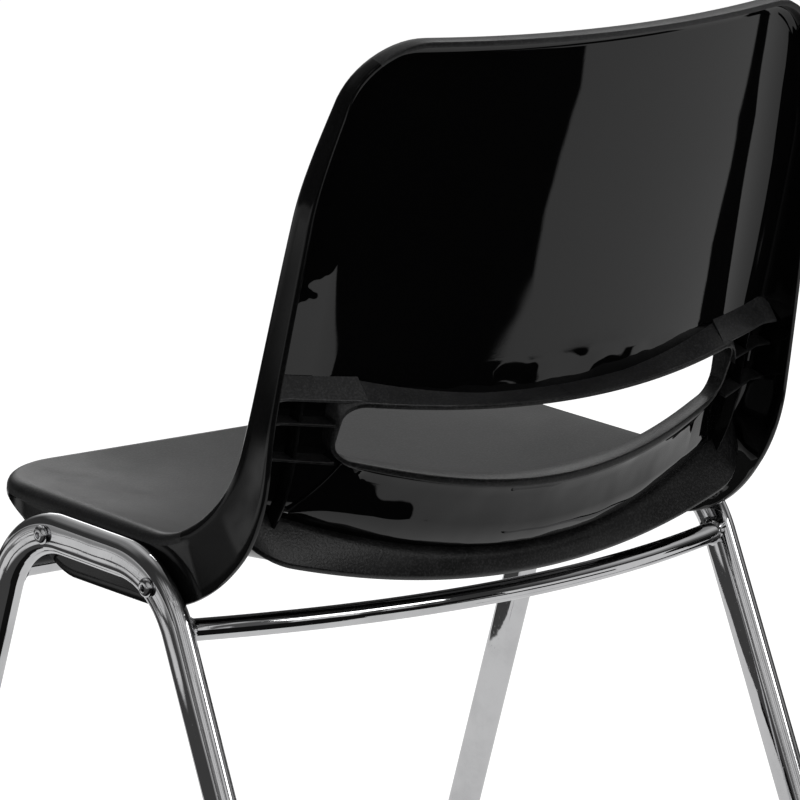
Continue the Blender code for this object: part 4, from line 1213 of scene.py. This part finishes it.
def build_bar(name, place, bow, tree, material):
    """Round bar from leg to leg with a vent hole under each end."""
    points = [bar_point(share, place, bow) for share in spread(-1.0, 1.0, BAR_STEPS)]
    bar = tube(name, points, BAR_DIAMETER, BAR_DIAMETER, 0.0, tree, material)
    vent_share = 1 - VENT_OFFSET / frame_x(1, place.y)
    drills = []
    for side, sign in SIDES.items():
        centre = bar_point(sign * vent_share, place, bow)
        rings = [[centre + Vector((first, second, drop)) for first, second in circle(VENT_DIAMETER / 2)]
                 for drop in (-BAR_DIAMETER, -BAR_DIAMETER / 4)]
        drills.append(mesh_piece(f"{name}_vent_{side}", *loft(rings), [material]))
        join(bar, drills[-1], "DIFFERENCE")
    settle(bar, drills)
    shade(bar.data)
    return bar


def weld_template(material):
    """Rippled bead round the end of a bar, hollow side towards the leg at +X."""
    base = BAR_DIAMETER / 2 - WELD_SINK
    rings = []
    for angle in spread(0.0, 2 * pi, ROUND_SIDES * 2)[:-1]:
        ripple = WELD_RIPPLE_SHARE * abs(sin(WELD_RIPPLES * angle / 2))
        leg = WELD_LEG * (1 + ripple + WELD_LUMP_SHARE * sin(WELD_LUMPS * angle + WELD_LUMP_TURN))
        outline = eased_outline([(WELD_BITE, base, 0.0), (WELD_BITE, base + leg, WELD_ROUND),
                                 (-leg * WELD_WAIST, base + leg * WELD_WAIST, leg / 2), (-leg, base, 0.0)])
        rings.append([Vector((along, radius * cos(angle), radius * sin(angle)))
                      for along, radius in outline])
    return mesh_piece("weld_template", *loft(rings, closed=True), [material])


def build_welds(places, tree, material):
    """Four beads where the cross bars meet the legs."""
    spots = []
    for place, bow in places:
        reach = frame_x(1, place.y)
        share = 1 - TUBE_WIDTH / 2 / reach
        for sign in SIDES.values():
            heading = Vector((reach, -2 * bow * share * sign, 0.0)) * sign
            spots.append((bar_point(sign * share, place, bow), heading.to_track_quat("X", "Z").to_euler()))
    return set_on_points("weld_beads", spots, weld_template(material), 0.0, WELD_SEED, tree, material)


def set_on_points(name, spots, template, spin, seed, tree, material):
    """Copies of a template on (place, turn) spots as one piece."""
    mesh = bpy.data.meshes.new(name)
    mesh.from_pydata([tuple(spot) for spot, _ in spots], [], [])
    turns = mesh.attributes.new("turn", "FLOAT_VECTOR", "POINT")
    for index, (_, turn) in enumerate(spots):
        turns.data[index].vector = turn
    thing = new_object(name, mesh)
    tree.put_on(thing, template=template, spin=spin, seed=seed, finish=material)
    return settle(thing, [template])


# Fasteners and feet

def screw_places():
    path = frame_path()
    return [path_crossing(path, 0, FRONT_CORNER_Y + FRONT_SCREW_OFFSET),
            path_crossing(path, 0, REAR_CORNER_Y - REAR_SCREW_OFFSET)]


def screw_template(material):
    """Button head with a hexagon socket, its seat at x = 0 and the head towards +X."""
    head = SCREW_HEAD_DIAMETER / 2
    flat = CROWN_FLAT_DIAMETER / 2
    shank = SCREW_DIAMETER / 2
    profile = [(-SCREW_LENGTH, shank - SHANK_CHAMFER), (-SCREW_LENGTH + SHANK_CHAMFER, shank), (0.0, shank),
               (0.0, head - HEAD_CHAMFER), (HEAD_CHAMFER, head), (HEAD_RIM, head)]
    profile += [(HEAD_RIM + (SCREW_HEAD_HEIGHT - HEAD_RIM) * sin(angle), flat + (head - flat) * cos(angle))
                for angle in spread(0.0, pi / 2, CROWN_STEPS)[1:]]
    screw = mesh_piece("screw_template", *loft(turned(profile)), [material])
    ends = (SCREW_HEAD_HEIGHT - SOCKET_DEPTH, SCREW_HEAD_HEIGHT + SOCKET_DEPTH)
    hexagon = turned([(x, SOCKET_WIDTH / sqrt(3)) for x in ends], 6)
    key = mesh_piece("socket_key", *loft(hexagon), [material])
    join(screw, key, "DIFFERENCE")
    settle(screw, [key])
    shade(screw.data)
    return screw


def nut_template(material):
    """Flange nut, its seat at x = 0 and the nut towards -X, with its bore."""
    flange = NUT_FLANGE_DIAMETER / 2
    across = NUT_WIDTH / 2
    bore = SCREW_DIAMETER / 2 + FIT_GAP
    stations = [(0.0, flange, True), (-NUT_FLANGE_HEIGHT * NUT_FLANGE_EDGE, flange, True),
                (-NUT_FLANGE_HEIGHT, across * NUT_ROOT, False), (-NUT_HEIGHT + NUT_CHAMFER, across, False),
                (-NUT_HEIGHT, across * NUT_END, True), (-NUT_HEIGHT, bore, True), (0.0, bore, True)]
    rings = []
    for x, size, is_round in stations:
        ring = []
        for angle in spread(0.0, 2 * pi, ROUND_SIDES)[:-1]:
            hexagon = size / cos((angle + pi / 6) % (pi / 3) - pi / 6)
            radius = size if is_round else min(hexagon, size * NUT_CORNER)
            ring.append(Vector((x, radius * cos(angle), radius * sin(angle))))
        rings.append(ring)
    return mesh_piece("nut_template", *loft(rings, closed=True), [material])


def build_fasteners(tree, screw_finish, nut_finish):
    screw_spots = []
    nut_spots = []
    inner = SEAT_WIDTH / 2 - SHELL_WALL - FIT_GAP
    for place in screw_places():
        seat = frame_x(1, place.y) + TUBE_WIDTH / 2 + FIT_GAP
        for sign in SIDES.values():
            turn = (0.0, 0.0, 0.0 if sign > 0 else pi)
            screw_spots.append((Vector((sign * seat, place.x, place.y)), turn))
            nut_spots.append((Vector((sign * inner, place.x, place.y)), turn))
    screws = set_on_points("seat_screws", screw_spots, screw_template(screw_finish), pi, SCREW_SEED, tree,
                           screw_finish)
    nuts = set_on_points("flange_nuts", nut_spots, nut_template(nut_finish), pi, NUT_SEED, tree,
                         nut_finish)
    return screws, nuts


def flat_oval(depth, width):
    """Section with two flat sides and two half-round edges, as (along its depth, across) points."""
    radius = width / 2
    edge = [((depth - width) / 2 + radius * cos(angle), radius * sin(angle))
            for angle in spread(-pi / 2, pi / 2, ROUND_SIDES)]
    return edge + [(-u, -v) for u, v in edge]


def build_glide(end, side, sign, material):
    """Foot plug: eased tread, plain collar and a shoulder under the tube."""
    front = end == "front"
    splay = FRONT_SPLAY if front else -REAR_SPLAY
    corner = Vector((FRONT_CORNER_Y, FRONT_CORNER_Z)) if front else Vector((REAR_CORNER_Y, REAR_CORNER_Z))
    top = GLIDE_HEIGHT - FIT_GAP
    drop, inset = GLIDE_SHOULDER_TURN
    stations = [(0.0, GLIDE_LIP - GLIDE_BEVEL),
                (GLIDE_BEVEL * GLIDE_BEVEL_TURN, GLIDE_LIP - GLIDE_BEVEL * GLIDE_BEVEL_TURN),
                (GLIDE_BEVEL, GLIDE_LIP), (top - GLIDE_SHOULDER, GLIDE_LIP), (top - drop, GLIDE_LIP - inset),
                (top, GLIDE_LIP - GLIDE_SHOULDER)]
    rings = []
    for z, grow in stations:
        middle = corner.x - (corner.y - z) * tan(splay)
        rings.append([Vector((frame_x(sign, z) + v, middle + u / cos(splay), z))
                      for u, v in flat_oval(TUBE_DEPTH + 2 * grow, TUBE_WIDTH + 2 * grow)])
    return mesh_piece(f"foot_{end}_{side}", *loft(rings), [material])


# Studio

def view_axes():
    """Directions from the chair to the camera, to the picture's right, and to the camera along the floor."""
    back = Vector((sin(VIEW_TURN) * cos(VIEW_RISE), cos(VIEW_TURN) * cos(VIEW_RISE), sin(VIEW_RISE)))
    right = Vector((-cos(VIEW_TURN), sin(VIEW_TURN), 0.0))
    return back, right, Vector((sin(VIEW_TURN), cos(VIEW_TURN), 0.0))


def aimed(name, data, place):
    """Camera or lamp that looks from a place at the chair."""
    thing = new_object(name, data)
    thing.location = place
    thing.rotation_euler = (Vector(place) - VIEW_TARGET).to_track_quat("Z", "Y").to_euler()
    return thing


def build_camera():
    camera = bpy.data.cameras.new("camera")
    camera.lens = VIEW_LENS
    camera.sensor_width = SENSOR
    camera.clip_end = VIEW_END
    back, _, _ = view_axes()
    bpy.context.scene.camera = aimed("camera", camera, VIEW_TARGET + back * VIEW_DISTANCE)


def bare_graph(owner):
    """Empty node tree of a material or a world."""
    owner.use_nodes = True
    owner.node_tree.nodes.clear()
    return Graph(owner.node_tree)


def ray_kinds(graph):
    """Whether a ray comes from the eye, and whether it was mirrored."""
    seen, glossy, through = [graph.node("ShaderNodeLightPath", out=f"Is {kind} Ray")
                             for kind in ("Camera", "Glossy", "Transmission")]
    return seen, glossy.larger(through)


def build_floor():
    """Pale floor: white to the eye with its soft shadow, and lit in part to what it mirrors in."""
    corners = [(-1, -1), (1, -1), (1, 1), (-1, 1)]
    points = [(FLOOR_HALF * x, FLOOR_HALF * y, 0.0) for x, y in corners]
    material = bpy.data.materials.new("studio_floor")
    graph = bare_graph(material)
    seen, mirrored = ray_kinds(graph)
    paper = graph.node("ShaderNodeBsdfDiffuse", None, {"Color": FLOOR_COLOUR})
    pale = graph.node("ShaderNodeEmission", None, {"Color": WHITE, "Strength": FLOOR_GLOW})
    white = graph.node("ShaderNodeAddShader", None, {0: paper, 1: pale})
    lit = graph.node("ShaderNodeEmission", None, {"Color": WHITE, "Strength": lit_floor(graph)})
    plain = graph.node("ShaderNodeMixShader", None, {0: seen, 1: paper, 2: white})
    whole = graph.node("ShaderNodeMixShader", None, {0: mirrored, 1: plain, 2: lit})
    graph.node("ShaderNodeOutputMaterial", None, {"Surface": whole})
    floor = mesh_piece("studio_floor", points, [(0, 1, 2, 3)], [material])


def bent_rim(aside, level, left, right):
    """Rim of a sheet across the floor: level in its middle, sloping past a corner on each side."""
    return (level + (left[0] - aside).larger(0.0) * left[1]
            + (aside - right[0]).larger(0.0) * right[1])


def slant(near, aside, level, aside_share, near_share):
    """Way past a straight side of a sheet."""
    return level + aside * aside_share + near * near_share


def lit_floor(graph):
    """Light from the floor: white paper round the chair with dark floor between and beyond its sheets."""
    _, right, towards = view_axes()
    place = graph.node("ShaderNodeTexCoord", out="Object")
    near = place.along(towards)
    aside = place.along(right)
    right_side = slant(near, aside, *RIGHT_SHEET_SIDE) + near * near * RIGHT_SHEET_SWEEP
    right_sheet = near.below(bent_rim(aside, *RIGHT_SHEET_RIM)) * right_side.above(0.0)
    middle_sheet = (slant(near, aside, *MIDDLE_SHEET_SIDE).above(0.0)
                    * slant(near, aside, *MIDDLE_SHEET_CORNER).above(0.0)
                    * near.below(bent_rim(aside, *MIDDLE_SHEET_RIM)))
    rear_sheet = near.below(REAR_SHEET_RIM)
    gap = near.below(bent_rim(aside, *GAP_RIM), GAP_BLUR) * aside.above(GAP_SIDE)
    covered = slant(near, aside, *COVERED_SIDE).above(0.0)
    white = right_sheet.larger(middle_sheet).larger(rear_sheet) * (1 - gap) * covered
    inside = near.above(*FLOOR_END)
    torn = graph.noise(place, TORN_PATTERN).above(*TORN_SHARE)
    left_sheet = aside.below(*LEFT_SHEET_SIDE) * near.below(*LEFT_SHEET_RIM) * inside * torn
    left_level = left_sheet * (LEFT_SHEET_LIGHT - aside.below(*LEFT_SHEET_FADE) * LEFT_SHEET_LOSS)
    left_floor = (aside.below(*LEFT_FLOOR_SIDE) * inside * LEFT_FLOOR_LIGHT
                  + aside.below(*FAR_FLOOR_SIDE) * FAR_FLOOR_LIGHT)
    left_light = left_level.larger(left_floor) + (inside * DIM_LIGHT + DIMMEST_LIGHT)
    return white * PAPER_LIGHT + (1 - white) * DARK_LIGHT + (1 - covered) * left_light


def build_world():
    """White to the eye, even light on matt faces, and to mirrors a pale backdrop and a dim barred room."""
    world = bpy.data.worlds.new("studio")
    bpy.context.scene.world = world
    graph = bare_graph(world)
    seen, mirrored = ray_kinds(graph)
    _, right, towards = view_axes()
    place = graph.node("ShaderNodeTexCoord", out="Generated")
    near = place.along(towards)
    aside = place.along(right)
    height = place.axis("Z")
    high = height.above(*BACKDROP_TOP)
    backdrop = (near.below(*BACKDROP_NEAR) * height.above(*BACKDROP_FOOT) * aside.above(*BACKDROP_LEFT_END)
                * (1 - high * BACKDROP_TOP_LOSS)
                * (BACKDROP_LIGHT + aside.below(*BACKDROP_MIDDLE) * BACKDROP_LEFT_GAIN))
    glow = near.below(*GLOW_NEAR) * high * aside.below(*GLOW_SIDE) * GLOW_LIGHT
    across, up = ROOM_BARS
    barred = graph.node("ShaderNodeCombineXYZ", None, {"X": aside * across, "Y": height * up})
    bars = graph.noise(barred, 1.0).above(*ROOM_BAR_SHARE)
    room = near.above(*ROOM_NEAR) * height.above(*ROOM_FOOT) * (bars * ROOM_BAR_LIGHT + ROOM_LIGHT)
    unseen = mirrored * (backdrop + glow + room + ROOM_HAZE) + (1 - mirrored) * SOFT_LIGHT
    level = seen + (1 - seen) * unseen
    sky = graph.node("ShaderNodeBackground", None, {"Color": WHITE, "Strength": level})
    graph.node("ShaderNodeOutputWorld", None, {"Surface": sky})


def build_studio():
    build_camera()
    build_floor()
    build_world()
    for name, (place, size, power) in SOFT_BOXES.items():
        light = bpy.data.lights.new(name, "AREA")
        light.shape = "RECTANGLE"
        light.size, light.size_y = size
        light.energy = power
        aimed(name, light, place)
    bpy.context.scene.view_settings.view_transform = "Standard"


def dress(piece, slot, *nodes):
    """Let a piece ride on the chair and stand for its solids."""
    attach(piece, "root")
    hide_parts(*nodes)


def main():
    plate = chrome("chrome_tube_plate", TUBE_RIPPLE)
    bead = chrome("chrome_weld_plate", WELD_RIPPLE)
    head = chrome("chrome_screw_plate", SCREW_RIPPLE)
    nut_finish = zinc("zinc_plate")
    foot = foot_plastic("foot_plastic")

    shell = build_shell([moulding(**looks) for looks in MOULDINGS])
    dress(shell, "shell_plastic", "shell")

    tubes = tube_tree()
    points = placed_tree()
    for side, sign in SIDES.items():
        dress(build_side_frame(side, sign, tubes, plate), "chrome_tube", f"side_frame_{side}")
        for end in ("front", "rear"):
            dress(build_glide(end, side, sign, foot), "glide_plastic", f"foot_glide_{end}_{side}")
    front_place = bar_place(FRONT_CORNER_Z - FRONT_BAR_DROP, True)
    rear_place = bar_place(REAR_CORNER_Z - REAR_BAR_DROP, False)
    front_bar = build_bar("chrome_bar_front", front_place, 0.0, tubes, plate)
    dress(front_bar, "chrome_tube", "front_cross_bar")
    rear_bar = build_bar("chrome_bar_rear", rear_place, REAR_BAR_BOW, tubes, plate)
    dress(rear_bar, "chrome_tube", "rear_cross_bar")
    welds = build_welds([(front_place, 0.0), (rear_place, REAR_BAR_BOW)], points, bead)
    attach(welds, "root")

    screws, nuts = build_fasteners(points, head, nut_finish)
    corners = [f"{end}_{side}" for end in ("front", "rear") for side in SIDES]
    dress(screws, "screw_chrome", *[f"seat_screw_{corner}" for corner in corners])
    dress(nuts, "nut_zinc", *[f"flange_nut_{corner}" for corner in corners])

    build_studio()


main()
